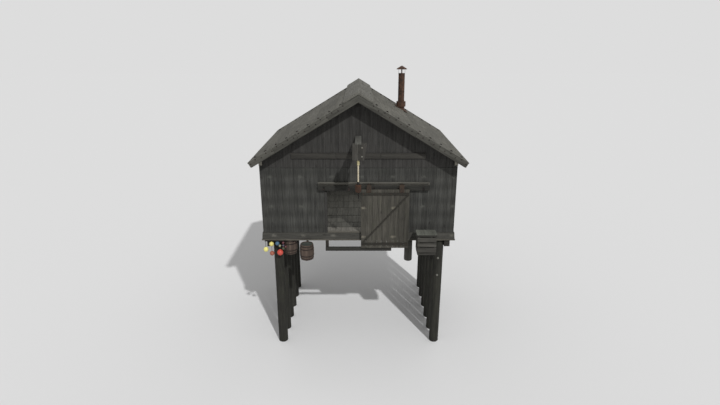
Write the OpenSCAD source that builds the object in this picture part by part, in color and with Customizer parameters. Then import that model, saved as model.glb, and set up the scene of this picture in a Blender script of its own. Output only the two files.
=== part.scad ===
// Fisherman house on piles: a boarded store with a sliding door, a rope hoist in the
// front gable, a lapped board roof with a stove pipe, and gear hung along the front sill.
// While a piece is drawn, x runs to the right, y from the front wall's outer face to the
// rear and z up from the ground. placed() then moves the middle of the plan to the origin.

/* [House body] */
// Width over the side walls
wall_w = 8070; // [7200:10:9000]
// Depth over the front and back walls
wall_d = 6400; // [6100:50:7200]
// Height of the side walls at their outer face, above the floor
wall_h = 3070; // [2800:10:3600]
// Thickness of a boarded wall
wall_t = 120; // [90:5:160]
// Thickness of the floor deck
floor_t = 60; // [40:5:80]
// Height of the floor's top above the ground
floor_z = 5450; // [4600:50:6000]

/* [Floor frame and piles] */
// Depth of a cross joist
joist_h = 280; // [200:10:300]
// Width of a cross joist
joist_w = 150; // [100:10:180]
// Depth of a side beam
beam_h = 300; // [200:10:360]
// Width of a side beam
beam_w = 240; // [120:10:260]
// Diameter of a pile
pile_d = 420; // [340:10:460]
// Number of piles in a row
pile_n = 6; // [5:1:6]
// Distance between the pile centres along a row
pile_pitch = 1040; // [900:10:1080]
// First pile's centre behind the front wall's face
pile_front = 270; // [260:10:330]
// Pile row's centre inside the side wall's outer face
pile_inset = 565; // [450:5:600]
// Depth of the seat cut in a pile for the side beam
pile_dap = 20; // [10:5:40]

/* [Skirt] */
// How far the sloping skirt's foot stays above the joists' underside
skirt_lift = 0; // [0:5:40]
// Thickness of the skirt board
skirt_t = 30; // [20:5:40]
// How far the skirt's foot stands out from the wall
skirt_flare = 55; // [40:5:100]
// Height of the skirt's upright part against the deck
skirt_seat = 60; // [40:5:100]

/* [Roof] */
// Slope of the roof in degrees
pitch = 31; // [26:1:36]
// Overhang of the eaves past the side walls
eave_over = 340; // [240:10:420]
// Overhang of the roof past the gables, to the barge boards' outer face
roof_over = 590; // [480:10:700]
// Rafter depth, square to the slope
rafter_h = 160; // [120:10:180]
// Rafter width
rafter_w = 100; // [80:10:120]
// Number of rafter bays between the gables
rafter_bays = 5; // [4:1:5]
// Thickness of the roof boards' upper ends
cover_t = 50; // [30:5:60]
// Rise of each course over the next one
lap_t = 35; // [20:5:45]
// Number of board courses on a slope
courses = 10; // [8:1:12]
// Thickness of a barge board
barge_t = 40; // [25:5:60]
// Depth of a barge board below the rafters' top
barge_drop = 150; // [90:10:160]
// Distance along the slope that the ridge cap covers
cap_cover = 595; // [560:5:660]
// Clearance of the rafters under the roof boards and over the gables and ridge beam
seat_gap = 0.3; // [0.1:0.1:0.5]
// How far the rafters' ends stand back from the eave's edge
rafter_back = 50; // [20:10:120]
// Thickness of a ridge cap board
cap_t = 80; // [40:5:90]
// How far the cap stands back from the barge boards' faces
cap_back = 70; // [20:10:120]
// Width of the ridge beam
ridge_w = 160; // [120:10:200]
// Depth of the ridge beam at its sides
ridge_h = 180; // [140:10:220]
// Width of a wall plate
plate_w = 150; // [130:10:200]
// Height of a wall plate at the wall's outer face
plate_h = 140; // [100:10:180]
// How far the wall plates stand out of the gables
plate_out = 60; // [20:10:120]

/* [Gable ledger] */
// Height of the ledger's underside above the wall's top corner
ledger_rise = 140; // [130:10:200]
// Length of the ledger board
ledger_len = 5440; // [5000:20:6400]
// Height of the ledger board
ledger_h = 220; // [150:10:260]
// Thickness of the ledger board
ledger_t = 50; // [30:5:80]

/* [Doorway] */
// Clear width between the jambs
door_w = 1830; // [1400:10:1900]
// Clear height from the deck to the head
door_h = 1820; // [1700:10:1900]
// Doorway's centre to the left of the house's centre
door_left = 395; // [300:5:500]
// Width of a jamb post
jamb_w = 100; // [80:5:140]
// Depth of the head
head_h = 100; // [80:5:140]
// How far the jambs stand out of the wall
jamb_out = 25; // [10:5:40]
// Thickness of the threshold
sill_t = 30; // [20:5:50]
// How far the threshold stands out of the wall
sill_out = 40; // [20:5:60]

/* [Sliding door] */
// Width of the leaf
leaf_w = 2005; // [1950:5:2080]
// Height of the leaf
leaf_h = 2590; // [2500:10:2640]
// Thickness of the leaf's boards
leaf_t = 45; // [35:5:60]
// Leaf's foot below the deck's top
leaf_drop = 630; // [560:10:660]
// Clear space between the track beam and the leaf
leaf_gap = 25; // [15:5:40]
// How far the leaf stands open
leaf_open = 1500; // [1200:50:1700]
// How much further the leaf can open
leaf_more = 700; // [400:50:700]
// Thickness of the bars and the brace on the leaf
bar_t = 30; // [20:5:40]
// Height of the leaf's bars
bar_h = 100; // [70:5:120]
// Distance from the leaf's ends to its bars
bar_end = 140; // [60:10:180]
// Width of the brace
brace_w = 60; // [50:5:90]
// Distance from the leaf's edges to the bars' ends
bar_in = 30; // [10:5:60]

/* [Track] */
// Depth of the track beam out from the wall
track_d = 130; // [100:5:160]
// Height of the track beam
track_h = 200; // [150:10:240]
// Height of the track beam's top above the deck
track_rise = 2090; // [2050:10:2120]
// Track beyond the leaf's stroke at each end
track_end = 270; // [100:10:400]
// Track beyond the leaf's farthest reach to the right
track_stop = 110; // [30:10:200]
// Diameter of a roller
roller_d = 100; // [80:5:120]
// Width of a roller
roller_w = 26; // [16:2:40]
// Radius of a roller's axle
axle_r = 12; // [8:1:16]
// Distance from the track's outer face in to a roller
roller_in = 10; // [5:1:20]
// Running clearance over the rail
roller_gap = 0.3; // [0.1:0.1:0.5]
// Width of a hanger strap
strap_w = 200; // [120:10:260]
// Thickness of a hanger strap
strap_t = 12; // [8:1:16]
// Hanger strap's centre from the leaf's end
strap_in = 330; // [260:10:420]
// Height of a strap above its axle
strap_over = 10; // [5:1:20]
// Thickness of the cover board
cover_board_t = 20; // [15:5:30]
// Clear height between the rollers and the cover board
cover_gap = 12; // [8:1:30]
// How far the cover board stands out past the straps
cover_out = 10; // [5:5:40]
// How far the cover board runs past the track's ends
cover_end = 0; // [0:10:100]

/* [Guide rail] */
// Height of the guide rail
guide_h = 170; // [120:10:200]
// Depth of the guide rail
guide_d = 90; // [60:5:100]
// Clear space between the leaf's back and the guide rail
guide_gap = 10; // [5:5:30]
// Height of the guide rail's top above the leaf's foot
guide_lap = 10; // [0:5:40]
// Guide rail's length
guide_len = 2800; // [2500:50:3000]
// Guide rail's end to the left of the doorway
guide_left = 90; // [0:10:150]
// Width of a guide hanger
hanger_w = 130; // [90:10:160]
// How far a guide hanger reaches behind the wall's face
hanger_in = 60; // [40:10:120]

/* [Hoist] */
// Width and height of the hoist beam
hoist_w = 240; // [180:10:260]
// Hoist beam's top above the wall's top corner
hoist_rise = 1060; // [1010:10:1180]
// Reach of the hoist beam from the wall
hoist_reach = 1780; // [1400:20:2000]
// Length of the hoist beam inside the wall
hoist_inner = 1100; // [900:20:1150]
// Width of the post between the hoist beam and the ridge beam
hoist_post = 120; // [80:10:180]
// Thickness of a block cheek
cheek_t = 100; // [50:5:110]
// How much further the right cheek stands out at its top
cheek_lean = 100; // [0:10:140]
// Height of the block
cheek_h = 590; // [500:10:640]
// Depth of the block's front board
cheek_front = 80; // [50:5:100]
// Length of beam held between the cheeks
cheek_hold = 260; // [240:10:300]
// How far the block stands above the beam
cheek_top = 20; // [10:5:40]
// Sheave's centre behind the beam's outer end
sheave_in = 140; // [130:5:150]
// Sheave's centre below the beam's top
sheave_below = 410; // [370:10:420]
// Radius of the sheave
sheave_r = 100; // [80:5:110]
// Width of the sheave
sheave_w = 90; // [70:5:110]
// Radius of the sheave's pin
sheave_pin_r = 20; // [15:1:25]

/* [Rope and hook] */
// Diameter of the rope
rope_d = 55; // [30:5:60]
// Diameter of the weight block
weight_d = 240; // [180:10:280]
// Height of the weight block
weight_h = 300; // [240:10:360]
// Height of the weight block's tapered foot
weight_foot = 40; // [20:5:60]
// How far the weight block's rim stands out
weight_rim = 10; // [5:1:15]
// Diameter of the hook's bar
hook_bar = 36; // [24:2:44]
// Radius of the hook's bend, at the bar's middle
hook_r = 75; // [60:5:100]
// Length of the hook's shank
hook_shank = 190; // [100:10:240]

/* [Stove pipe] */
// Outer diameter of the pipe
pipe_d = 320; // [240:10:360]
// Thickness of the pipe's wall
pipe_t = 8; // [5:1:14]
// How much each pipe section above the first is thinner
pipe_step = 3; // [1:1:4]
// Height of the joint band between two pipe sections
pipe_band = 30; // [20:5:60]
// Pipe's centre to the right of the ridge
pipe_x = 2110; // [1700:10:2500]
// Pipe's centre in front of the back wall's outer face
pipe_back = 960; // [800:10:1060]
// Height of the pipe above the roof's boards
pipe_rise = 1700; // [1400:10:2200]
// Length of the pipe below the rafters
pipe_stub = 100; // [60:10:300]
// Clearance of the pipe in the roof, the collar and under the hat's lugs
pipe_gap = 0.3; // [0.2:0.1:1]
// Number of pipe sections above the roof
pipe_n = 4; // [3:1:6]
// Diameter of the collar ring
collar_d = 460; // [430:10:520]
// Height of the collar ring
collar_ring = 240; // [100:10:280]
// Thickness of the sleeve under the collar ring
sleeve_t = 20; // [10:2:30]
// Height of the collar above the roof boards, on the pipe's axis
collar_h = 340; // [300:10:460]
// Width of the square flashing plate
plate_flash = 700; // [600:10:800]
// Thickness of the flashing plate
flash_t = 12; // [8:1:20]
// Diameter of the hat
hat_d = 520; // [440:10:600]
// Height of the hat's cone
hat_h = 170; // [100:10:220]
// Open height under the hat
hat_gap = 190; // [100:10:240]
// Thickness of the hat's rim
hat_rim = 12; // [6:1:20]
// Radius of the flat on top of the hat
hat_flat = 20; // [10:5:40]
// Width of a hat lug
lug_w = 30; // [20:5:50]

/* [Gear on the front sill] */
// Height of a keg
keg_h = 660; // [600:10:760]
// Diameter of a keg's head
keg_head = 500; // [440:10:540]
// Diameter of a keg's belly
keg_belly = 600; // [560:10:640]
// Depth of a keg's head inside its rim, and the rim's width
keg_rim = 30; // [15:5:40]
// Height of a keg hoop
hoop_h = 40; // [25:5:50]
// Thickness of a keg hoop
hoop_t = 5; // [2:1:8]
// Clear height between the joists and the kegs' tops
keg_hang = 20; // [10:5:60]
// Clear space between the rear keg and the first pile
keg_clear = 10; // [5:5:60]
// Rear keg's centre behind the front wall's face
keg_in = 245; // [200:5:300]
// Front keg's centre from the house's left side
keg_left = 1865; // [1800:5:1950]
// Clearance between the skirt's foot and the front keg
keg_gap = 15; // [10:5:40]
// Thickness of the iron bracket bars
bracket_t = 12; // [8:1:16]
// Width of a bracket bar
bracket_w = 90; // [60:5:120]
// Clearance between a bracket's leg and a keg
leg_gap = 8; // [4:1:14]
// Crate width at the lid
crate_w = 820; // [740:10:860]
// Crate depth at the lid
crate_d = 640; // [560:10:700]
// Crate height with its lid
crate_h = 885; // [760:5:940]
// Number of boards up a crate's side
crate_boards = 6; // [4:1:8]
// Height of the crate's lid
lid_h = 60; // [40:5:90]
// Groove between two crate boards
crate_groove = 8; // [4:1:14]
// How far the lid stands out over the boards
lid_out = 20; // [6:2:24]
// How far the lowest board stands in from the ones above
foot_in = 16; // [8:2:24]
// Crate's centre from the house's right side
crate_right = 1235; // [1150:5:1400]
// Crate's foot below the joists
crate_drop = 325; // [260:5:420]
// Clearance between the open door's front and the gear
gear_gap = 20; // [10:5:60]
// Diameter of the fender post
fender_d = 350; // [300:10:380]
// Length of the fender post
fender_len = 1010; // [800:10:1300]
// Fender post's centre from the house's right side
fender_right = 1880; // [1750:10:2000]
// Fender post's distance behind the front wall's face
fender_in = 40; // [20:5:100]
// Thickness of the iron strip that the net floats hang from
rack_t = 10; // [6:1:14]
// Diameter of the wire that a float hangs on
float_bar = 14; // [10:1:20]
// Distance of the floats' wires in front of the wall's face
float_out = 120; // [110:5:140]
// Half the width of the iron strip
rack_half = 30; // [20:5:40]

/* [Hidden] */

// Levels
deck_bottom = floor_z - floor_t;
frame_bottom = deck_bottom - joist_h;
skirt_h = floor_z - frame_bottom - skirt_lift;
eave_z = floor_z + wall_h;
half_w = wall_w / 2;
beam_in = half_w - pile_inset + pile_d / 2 - pile_dap;

// Roof geometry, in the plane of a gable: s runs down the slope from the ridge and t
// stands square to it, from the rafters' top.
ridge_z = eave_z + half_w * tan(pitch) + rafter_h / cos(pitch);
under_t = -rafter_h;
roof_t = cover_t + lap_t;
slope_len = (half_w + eave_over) / cos(pitch) - roof_t * tan(pitch);
course = slope_len / courses;
past_ridge = -rafter_h - roof_t - cap_t;
far = wall_w + ridge_z;
function slope_point(s, t) = [
  s * cos(pitch) + t * sin(pitch), ridge_z - s * sin(pitch) + t * cos(pitch)
];
function under_z(x) = eave_z + (half_w - x) * tan(pitch);
function seat_z(x) = under_z(x) - seat_gap;

roof_front = -roof_over;
roof_back = wall_d + roof_over;
cover_front = roof_front + barge_t;
cover_back = roof_back - barge_t;
gable_rafters = [wall_t / 2, wall_d - wall_t / 2];
rafter_step = (gable_rafters[1] - gable_rafters[0]) / rafter_bays;
rafter_ys = concat(
  [cover_front + rafter_w / 2],
  [for (i = [0:rafter_bays]) gable_rafters[0] + i * rafter_step],
  [cover_back - rafter_w / 2]
);

// Gable ledger and the split between wall and gable
split_z = eave_z + ledger_rise;
split_x = half_w - ledger_rise / tan(pitch);
plate_x = half_w - plate_w;

// Doorway
door_x0 = -door_left - door_w / 2;
door_x1 = -door_left + door_w / 2;
frame_x0 = door_x0 - jamb_w;
frame_x1 = door_x1 + jamb_w;
head_z = floor_z + door_h;

// Leaf and track, seen from the wall's face outwards
leaf_back = -track_d - leaf_gap;
leaf_front = leaf_back - leaf_t;
leaf_x0 = -door_left - leaf_w / 2 + leaf_open;
leaf_x1 = leaf_x0 + leaf_w;
leaf_z0 = floor_z - leaf_drop;
leaf_z1 = leaf_z0 + leaf_h;
track_z1 = floor_z + track_rise;
track_x0 = leaf_x0 - leaf_open - track_end;
track_x1 = leaf_x1 + leaf_more + track_stop;
roller_z = track_z1 + roller_gap + roller_d / 2;
roller_y = -track_d + roller_in + roller_w / 2;
cover_board_z = roller_z + roller_d / 2 + cover_gap;
strap_xs = [leaf_x0 + strap_in, leaf_x1 - strap_in];
strap_top = roller_z + axle_r + strap_over;

// Hoist
hoist_z1 = eave_z + hoist_rise;
hoist_z0 = hoist_z1 - hoist_w;
block_back = -hoist_reach + cheek_hold;
block_front = -hoist_reach - cheek_front;
block_z1 = hoist_z1 + cheek_top;
block_z0 = block_z1 - cheek_h;

// Rope: it hangs from the sheave's rim. Its route goes down through these depths below
// the sheave's centre, round numbers chosen by hand.
sheave_y = -hoist_reach + sheave_in;
sheave_z = hoist_z1 - sheave_below;
rope_x = 0;
rope_y = sheave_y - sheave_r;
rope_drops = [
  0, 60, 120, 180, 240, 310, 380, 450, 520, 590, 660, 730, 800, 870, 940, 1010, 1100
];
rope_route = [for (drop = rope_drops) [rope_x, rope_y, sheave_z - drop]];
weight_z1 = sheave_z - rope_drops[len(rope_drops) - 1];
weight_z0 = weight_z1 - weight_h;

// Stove pipe
pipe_y = wall_d - pipe_back;
pipe_roof_z = under_z(pipe_x) + (rafter_h + roof_t) / cos(pitch);
pipe_z0 = under_z(pipe_x) - pipe_stub;
pipe_z1 = pipe_roof_z + pipe_rise;
collar_z1 = pipe_roof_z + collar_h;

// Gear
gear_back = leaf_front - bar_t - gear_gap;
crate_x = half_w - crate_right;
crate_z0 = frame_bottom - crate_drop;
pile_x = half_w - pile_inset;
keg_xs = [pile_d / 2 - pile_x + keg_clear + keg_belly / 2, keg_left - half_w];
keg_ys = [keg_in, -skirt_flare - keg_gap - keg_belly / 2];
keg_z0 = frame_bottom - keg_hang - keg_h;
fender_x = half_w - fender_right;
fender_y = fender_in + fender_d / 2;
float_y = -float_out;

// Plan of the whole house: the origin stands under the middle of its length
mid_y = (block_front + roof_back) / 2;

module placed() {
  translate([0, -mid_y, 0]) children();
}

// A box from one corner to the other
module block(low, high) {
  translate(low) cube(high - low);
}

// An outline in x and z, drawn along y from one place to another
module along_y(y0, y1) {
  translate([0, y1, 0]) rotate([90, 0, 0]) linear_extrude(y1 - y0) children();
}

// An outline in y and z, drawn along x from one place to another
module along_x(x0, x1) {
  translate([x0, 0, 0]) rotate([90, 0, 90]) linear_extrude(x1 - x0) children();
}

// A right-hand slope's outline, given in s and t, cut off at the ridge line
module slope_outline(points) {
  intersection() {
    polygon([for (p = points) slope_point(p[0], p[1])]);
    square([far, far]);
  }
}

// A strip of a slope between two heights above the rafters' top
module slope_strip(s0, s1, t0, t1) {
  slope_outline([[s0, t0], [s1, t0], [s1, t1], [s0, t1]]);
}

// Top edge of the lapped courses, from the ridge to the eave
function lap_edge() = concat(
  [[past_ridge, roof_t], [course, roof_t]],
  [for (i = [2:courses]) each [[(i - 1) * course, cover_t], [i * course, roof_t]]]
);

module lapped_outline(bottom) {
  slope_outline(concat(lap_edge(), [[slope_len, bottom], [past_ridge, bottom]]));
}

module mirrored() {
  mirror([1, 0, 0]) children();
}

// ---------- Base ----------

module pile_row() {
  for (i = [0:pile_n - 1])
    difference() {
      translate([pile_x, pile_front + i * pile_pitch, 0])
        cylinder(h = frame_bottom, d = pile_d, $fn = 48);
      translate([beam_in, pile_front + i * pile_pitch - pile_d, frame_bottom - beam_h])
        cube([pile_d, 2 * pile_d, beam_h + 1]);
    }
}

module piles_right() placed() color("#3b3935") pile_row();

module piles_left() placed() color("#3b3935") mirrored() pile_row();

module side_beams() placed() color("#45433e")
  for (side = [0, 1])
    mirror([side, 0, 0])
      block([beam_in, 0, frame_bottom - beam_h], [beam_in + beam_w, wall_d, frame_bottom]);

module floor_joists() placed() color("#45433e") {
  row = [for (i = [0:pile_n - 1]) pile_front + i * pile_pitch];
  for (y = concat([joist_w / 2], row, [wall_d - joist_w / 2]))
    block([-half_w, y - joist_w / 2, frame_bottom], [half_w, y + joist_w / 2, deck_bottom]);
}

module floor_deck() placed() color("#5c5a53") {
  block([-half_w, 0, deck_bottom], [half_w, wall_d, floor_z]);
}

// ---------- Skirt ----------

// One skirt board of a wall of the given length, standing out towards -y, mitred
module skirt_board(length) {
  top = floor_z;
  foot = floor_z - skirt_h;
  reach = skirt_flare + 10;
  intersection() {
    along_x(-length / 2 - reach, length / 2 + reach)
      polygon([
        [0, top], [-skirt_t, top], [-skirt_flare, foot],
        [skirt_t - skirt_flare, foot], [0, top - skirt_seat]
      ]);
    translate([0, 0, foot - 1])
      linear_extrude(skirt_h + 2)
        polygon([
          [-length / 2, 0], [length / 2, 0],
          [length / 2 + reach, -reach], [-length / 2 - reach, -reach]
        ]);
  }
}

module end_skirts() placed() color("#6b6860") {
  skirt_board(wall_w);
  translate([0, wall_d, 0]) rotate([0, 0, 180]) skirt_board(wall_w);
}

module side_skirts() placed() color("#6b6860")
  for (side = [-1, 1])
    translate([side * half_w, wall_d / 2, 0]) rotate([0, 0, side * 90]) skirt_board(wall_d);

// ---------- Walls ----------

// Corner of an end wall below the split, from the deck up, notched for the wall plate
function corner_points() = [
  [half_w, floor_z], [half_w, eave_z - plate_h], [plate_x, eave_z - plate_h],
  [plate_x, under_z(plate_x)], [split_x, split_z]
];

module wall_beside_door(x0) {
  polygon(concat([[x0, floor_z]], corner_points(), [[x0, split_z]]));
}

// Outline of a gable above the split, notched for the ridge beam
module gable_outline() {
  top_x = ridge_w / 2;
  top_z = seat_z(top_x);
  polygon([
    [-split_x, split_z], [split_x, split_z], [top_x, top_z], [top_x, top_z - ridge_h],
    [-top_x, top_z - ridge_h], [-top_x, top_z]
  ]);
}

module front_wall_left() placed() color("#403f3c")
  along_y(0, wall_t) mirrored() wall_beside_door(-frame_x0);

module front_wall_right() placed() color("#403f3c")
  along_y(0, wall_t) wall_beside_door(frame_x1);

module front_wall_over_door() placed() color("#403f3c")
  block([frame_x0, 0, head_z + head_h], [frame_x1, wall_t, split_z]);

module front_gable() placed() color("#3a3936")
  difference() {
    along_y(0, wall_t) gable_outline();
    block([-hoist_w / 2, -1, hoist_z0], [hoist_w / 2, wall_t + 1, hoist_z1]);
  }

module back_wall() placed() color("#403f3c") {
  right = corner_points();
  left = [for (i = [len(right) - 1:-1:0]) [-right[i][0], right[i][1]]];
  along_y(wall_d - wall_t, wall_d) polygon(concat(right, left));
}

module back_gable() placed() color("#3a3936")
  along_y(wall_d - wall_t, wall_d) gable_outline();

module side_wall() {
  block([half_w - wall_t, wall_t, floor_z], [half_w, wall_d - wall_t, eave_z - plate_h]);
}

module right_wall() placed() color("#403f3c") side_wall();

module left_wall() placed() color("#403f3c") mirrored() side_wall();

// Boards across the middle of both gables, at their feet
module gable_ledgers() placed() color("#44423c")
  for (y = [-ledger_t, wall_d])
    block([-ledger_len / 2, y, split_z], [ledger_len / 2, y + ledger_t, split_z + ledger_h]);

// ---------- Roof ----------

module wall_plates() placed() color("#55524a")
  for (side = [0, 1])
    mirror([side, 0, 0])
      along_y(-plate_out, wall_d + plate_out)
        polygon([
          [plate_x, eave_z - plate_h], [half_w, eave_z - plate_h],
          [half_w, eave_z], [plate_x, under_z(plate_x)]
        ]);

module ridge_beam() placed() color("#45433e") {
  top_z = seat_z(ridge_w / 2);
  along_y(-plate_out, wall_d + plate_out)
    polygon([
      [-ridge_w / 2, top_z - ridge_h], [ridge_w / 2, top_z - ridge_h],
      [ridge_w / 2, top_z], [0, seat_z(0)], [-ridge_w / 2, top_z]
    ]);
}

module rafter_row() {
  for (y = rafter_ys)
    along_y(y - rafter_w / 2, y + rafter_w / 2)
      slope_strip(past_ridge, slope_len - rafter_back, under_t, 0);
}

module rafters_right() placed() color("#3d3b36") rafter_row();

module rafters_left() placed() color("#3d3b36") mirrored() rafter_row();

module roof_right() placed() color("#5f5e58")
  difference() {
    along_y(cover_front, cover_back) lapped_outline(seat_gap);
    translate([pipe_x, pipe_y, eave_z])
      cylinder(h = ridge_z, r = pipe_d / 2 + pipe_gap, $fn = 64);
  }

module roof_left() placed() color("#5f5e58")
  mirrored() along_y(cover_front, cover_back) lapped_outline(seat_gap);

module cap_board() {
  along_y(roof_front + cap_back, roof_back - cap_back)
    slope_strip(past_ridge, cap_cover, roof_t, roof_t + cap_t);
}

module ridge_cap_right() placed() color("#6e6c66") cap_board();

module ridge_cap_left() placed() color("#6e6c66") mirrored() cap_board();

module barge_pair() {
  for (y = [roof_front, cover_back])
    along_y(y, y + barge_t) lapped_outline(-barge_drop);
}

module barge_boards_right() placed() color("#55534e") barge_pair();

module barge_boards_left() placed() color("#55534e") mirrored() barge_pair();

// ---------- Doorway ----------

module door_jambs() placed() color("#35332f")
  for (x = [frame_x0, door_x1])
    block([x, -jamb_out, floor_z], [x + jamb_w, wall_t, head_z]);

module door_head() placed() color("#35332f")
  block([frame_x0, 0, head_z], [frame_x1, wall_t, head_z + head_h]);

module door_sill() placed() color("#6a665c")
  block([door_x0, -sill_out, floor_z], [door_x1, wall_t, floor_z + sill_t]);

module door_track() placed() color("#2f2e2b")
  block([track_x0, -track_d, track_z1 - track_h], [track_x1, 0, track_z1]);

module track_cover() placed() color("#6f6c64") {
  front = leaf_front - strap_t - cover_out;
  block([track_x0 - cover_end, front, cover_board_z],
    [track_x1 + cover_end, 0, cover_board_z + cover_board_t]);
}

// Rail behind the leaf's foot, held by two hangers from the front joist
guide_z1 = leaf_z0 + guide_lap;
guide_x0 = door_x0 - guide_left;
guide_x1 = guide_x0 + guide_len;
guide_y1 = leaf_back + guide_gap + guide_d;

module guide_rail() placed() color("#26241f")
  block([guide_x0, guide_y1 - guide_d, guide_z1 - guide_h], [guide_x1, guide_y1, guide_z1]);

module guide_hangers() placed() color("#3a332c")
  for (x = [guide_x0, guide_x1 - hanger_w])
    block([x, guide_y1, guide_z1 - guide_h], [x + hanger_w, hanger_in, frame_bottom]);

// ---------- Sliding door ----------

module door_leaf() placed() color("#504a44")
  block([leaf_x0, leaf_front, leaf_z0], [leaf_x1, leaf_back, leaf_z1]);

bar_x0 = leaf_x0 + bar_in;
bar_x1 = leaf_x1 - bar_in;
bar_zs = [leaf_z0 + bar_end, leaf_z1 - bar_end - bar_h];

module door_bars() placed() color("#35312c")
  for (z = bar_zs)
    block([bar_x0, leaf_front - bar_t, z], [bar_x1, leaf_front, z + bar_h]);

// Diagonal from the lower bar's left end to the upper bar's right end
module door_brace() placed() color("#35312c") {
  rise = bar_zs[1] - bar_zs[0] - bar_h;
  run = bar_x1 - bar_x0;
  slant = brace_w * sqrt(run * run + rise * rise) / rise;
  low = bar_zs[0] + bar_h;
  along_y(leaf_front - bar_t, leaf_front)
    polygon([
      [bar_x0, low], [bar_x0 + slant, low],
      [bar_x1, bar_zs[1]], [bar_x1 - slant, bar_zs[1]]
    ]);
}

// Iron straps up from the leaf's upper bar, past its top edge, each with an axle back to
// its roller
module door_hangers() placed() color("#5a3a26")
  for (x = strap_xs) {
    block([x - strap_w / 2, leaf_front - strap_t, leaf_z1 - bar_end],
      [x + strap_w / 2, leaf_front, strap_top]);
    translate([x, leaf_front, roller_z])
      rotate([-90, 0, 0])
        cylinder(h = roller_y - roller_w / 2 - leaf_front - roller_gap, r = axle_r, $fn = 32);
  }

module door_rollers() placed() color("#3a2c22")
  for (x = strap_xs)
    translate([x, roller_y - roller_w / 2, roller_z])
      rotate([-90, 0, 0])
        cylinder(h = roller_w, d = roller_d, $fn = 48);

// ---------- Hoist ----------

// Beam through the gable, hung at its inner end from the ridge beam
module hoist_beam() placed() color("#8c8a82") {
  block([-hoist_w / 2, -hoist_reach, hoist_z0], [hoist_w / 2, hoist_inner, hoist_z1]);
  block([-hoist_post / 2, hoist_inner - hoist_post, hoist_z1 - 1],
    [hoist_post / 2, hoist_inner, seat_z(ridge_w / 2) - ridge_h]);
}

// Two cheeks beside the beam's end and a front board, open below for the rope. The right
// cheek and the front board widen towards their tops.
module hoist_block() placed() color("#62605a") {
  out = hoist_w / 2 + cheek_t;
  block([-out, -hoist_reach, block_z0], [-hoist_w / 2, block_back, block_z1]);
  along_y(-hoist_reach, block_back) cheek_outline(hoist_w / 2);
  along_y(block_front, -hoist_reach) cheek_outline(-out);
}

// From a left edge to the right cheek's leaning outer edge
module cheek_outline(left) {
  out = hoist_w / 2 + cheek_t;
  polygon([
    [left, block_z0], [out, block_z0], [out + cheek_lean, block_z1], [left, block_z1]
  ]);
}

module hoist_sheave() placed() color("#4a4038")
  translate([0, sheave_y, sheave_z])
    rotate([0, 90, 0]) {
      groove = rope_d / 2 + 1;
      rotate_extrude($fn = 64)
        difference() {
          translate([0, -sheave_w / 2]) square([sheave_r, sheave_w]);
          translate([sheave_r, 0]) circle(r = groove, $fn = 32);
        }
      cylinder(h = hoist_w, r = sheave_pin_r, center = true, $fn = 32);
    }

// Tube swept along a route of points, as one closed polyhedron
module rope_tube(route, radius, sides) {
  rings = len(route);
  points = [for (p = route) for (k = [0:sides - 1])
    p + radius * [cos(360 * k / sides), sin(360 * k / sides), 0]];
  walls = [for (i = [0:rings - 2]) for (k = [0:sides - 1])
    let (next = (k + 1) % sides)
    [i * sides + k, i * sides + next, (i + 1) * sides + next, (i + 1) * sides + k]];
  top = [for (k = [sides - 1:-1:0]) k];
  bottom = [for (k = [0:sides - 1]) (rings - 1) * sides + k];
  polyhedron(points = points, faces = concat([top], walls, [bottom]), convexity = 2);
}

module hoist_rope() placed() color("#c8bea5") rope_tube(rope_route, rope_d / 2, 10);

module hook_weight() placed() color("#6e3721")
  translate([rope_x, rope_y, weight_z0])
    rotate_extrude($fn = 48) {
      body_r = weight_d / 2 - weight_rim;
      shoulder = weight_foot / 2;
      polygon([
        [0, 0], [body_r - weight_foot / 2, 0], [body_r, weight_foot],
        [body_r, weight_h - 2.5 * shoulder], [weight_d / 2, weight_h - 2.5 * shoulder],
        [weight_d / 2, weight_h - shoulder], [weight_d * 0.35, weight_h], [0, weight_h]
      ]);
    }

// Shank with an open bend below it, turned towards the wall
module hoist_hook() placed() color("#2c2622")
  translate([rope_x, rope_y, weight_z0 - hook_shank]) rotate([0, 0, 90]) {
    cylinder(h = hook_shank, d = hook_bar, $fn = 32);
    translate([hook_r, 0, 0])
      rotate([90, 0, 0])
        rotate([0, 0, 180])
          rotate_extrude(angle = 210, $fn = 64)
            translate([hook_r, 0]) circle(d = hook_bar, $fn = 32);
  }

// ---------- Stove pipe ----------

module stove_pipe() placed() color("#4a3830")
  translate([pipe_x, pipe_y, pipe_z0])
    rotate_extrude($fn = 64) {
      r = pipe_d / 2;
      height = pipe_z1 - pipe_z0;
      lift = pipe_roof_z - pipe_z0;
      section = pipe_rise / pipe_n;
      polygon(concat(
        [[r - pipe_t, 0], [r, 0], [r, lift + section]],
        [for (i = [1:pipe_n - 1]) each [
          [r - pipe_step, lift + i * section + (i == 1 ? 0 : pipe_band)],
          [r - pipe_step, lift + (i + 1) * section - pipe_band],
          [r, lift + (i + 1) * section - pipe_band],
          [r, lift + (i + 1) * section + (i == pipe_n - 1 ? 0 : pipe_band)]
        ]],
        [[r - pipe_t, height]]
      ));
    }

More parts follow.
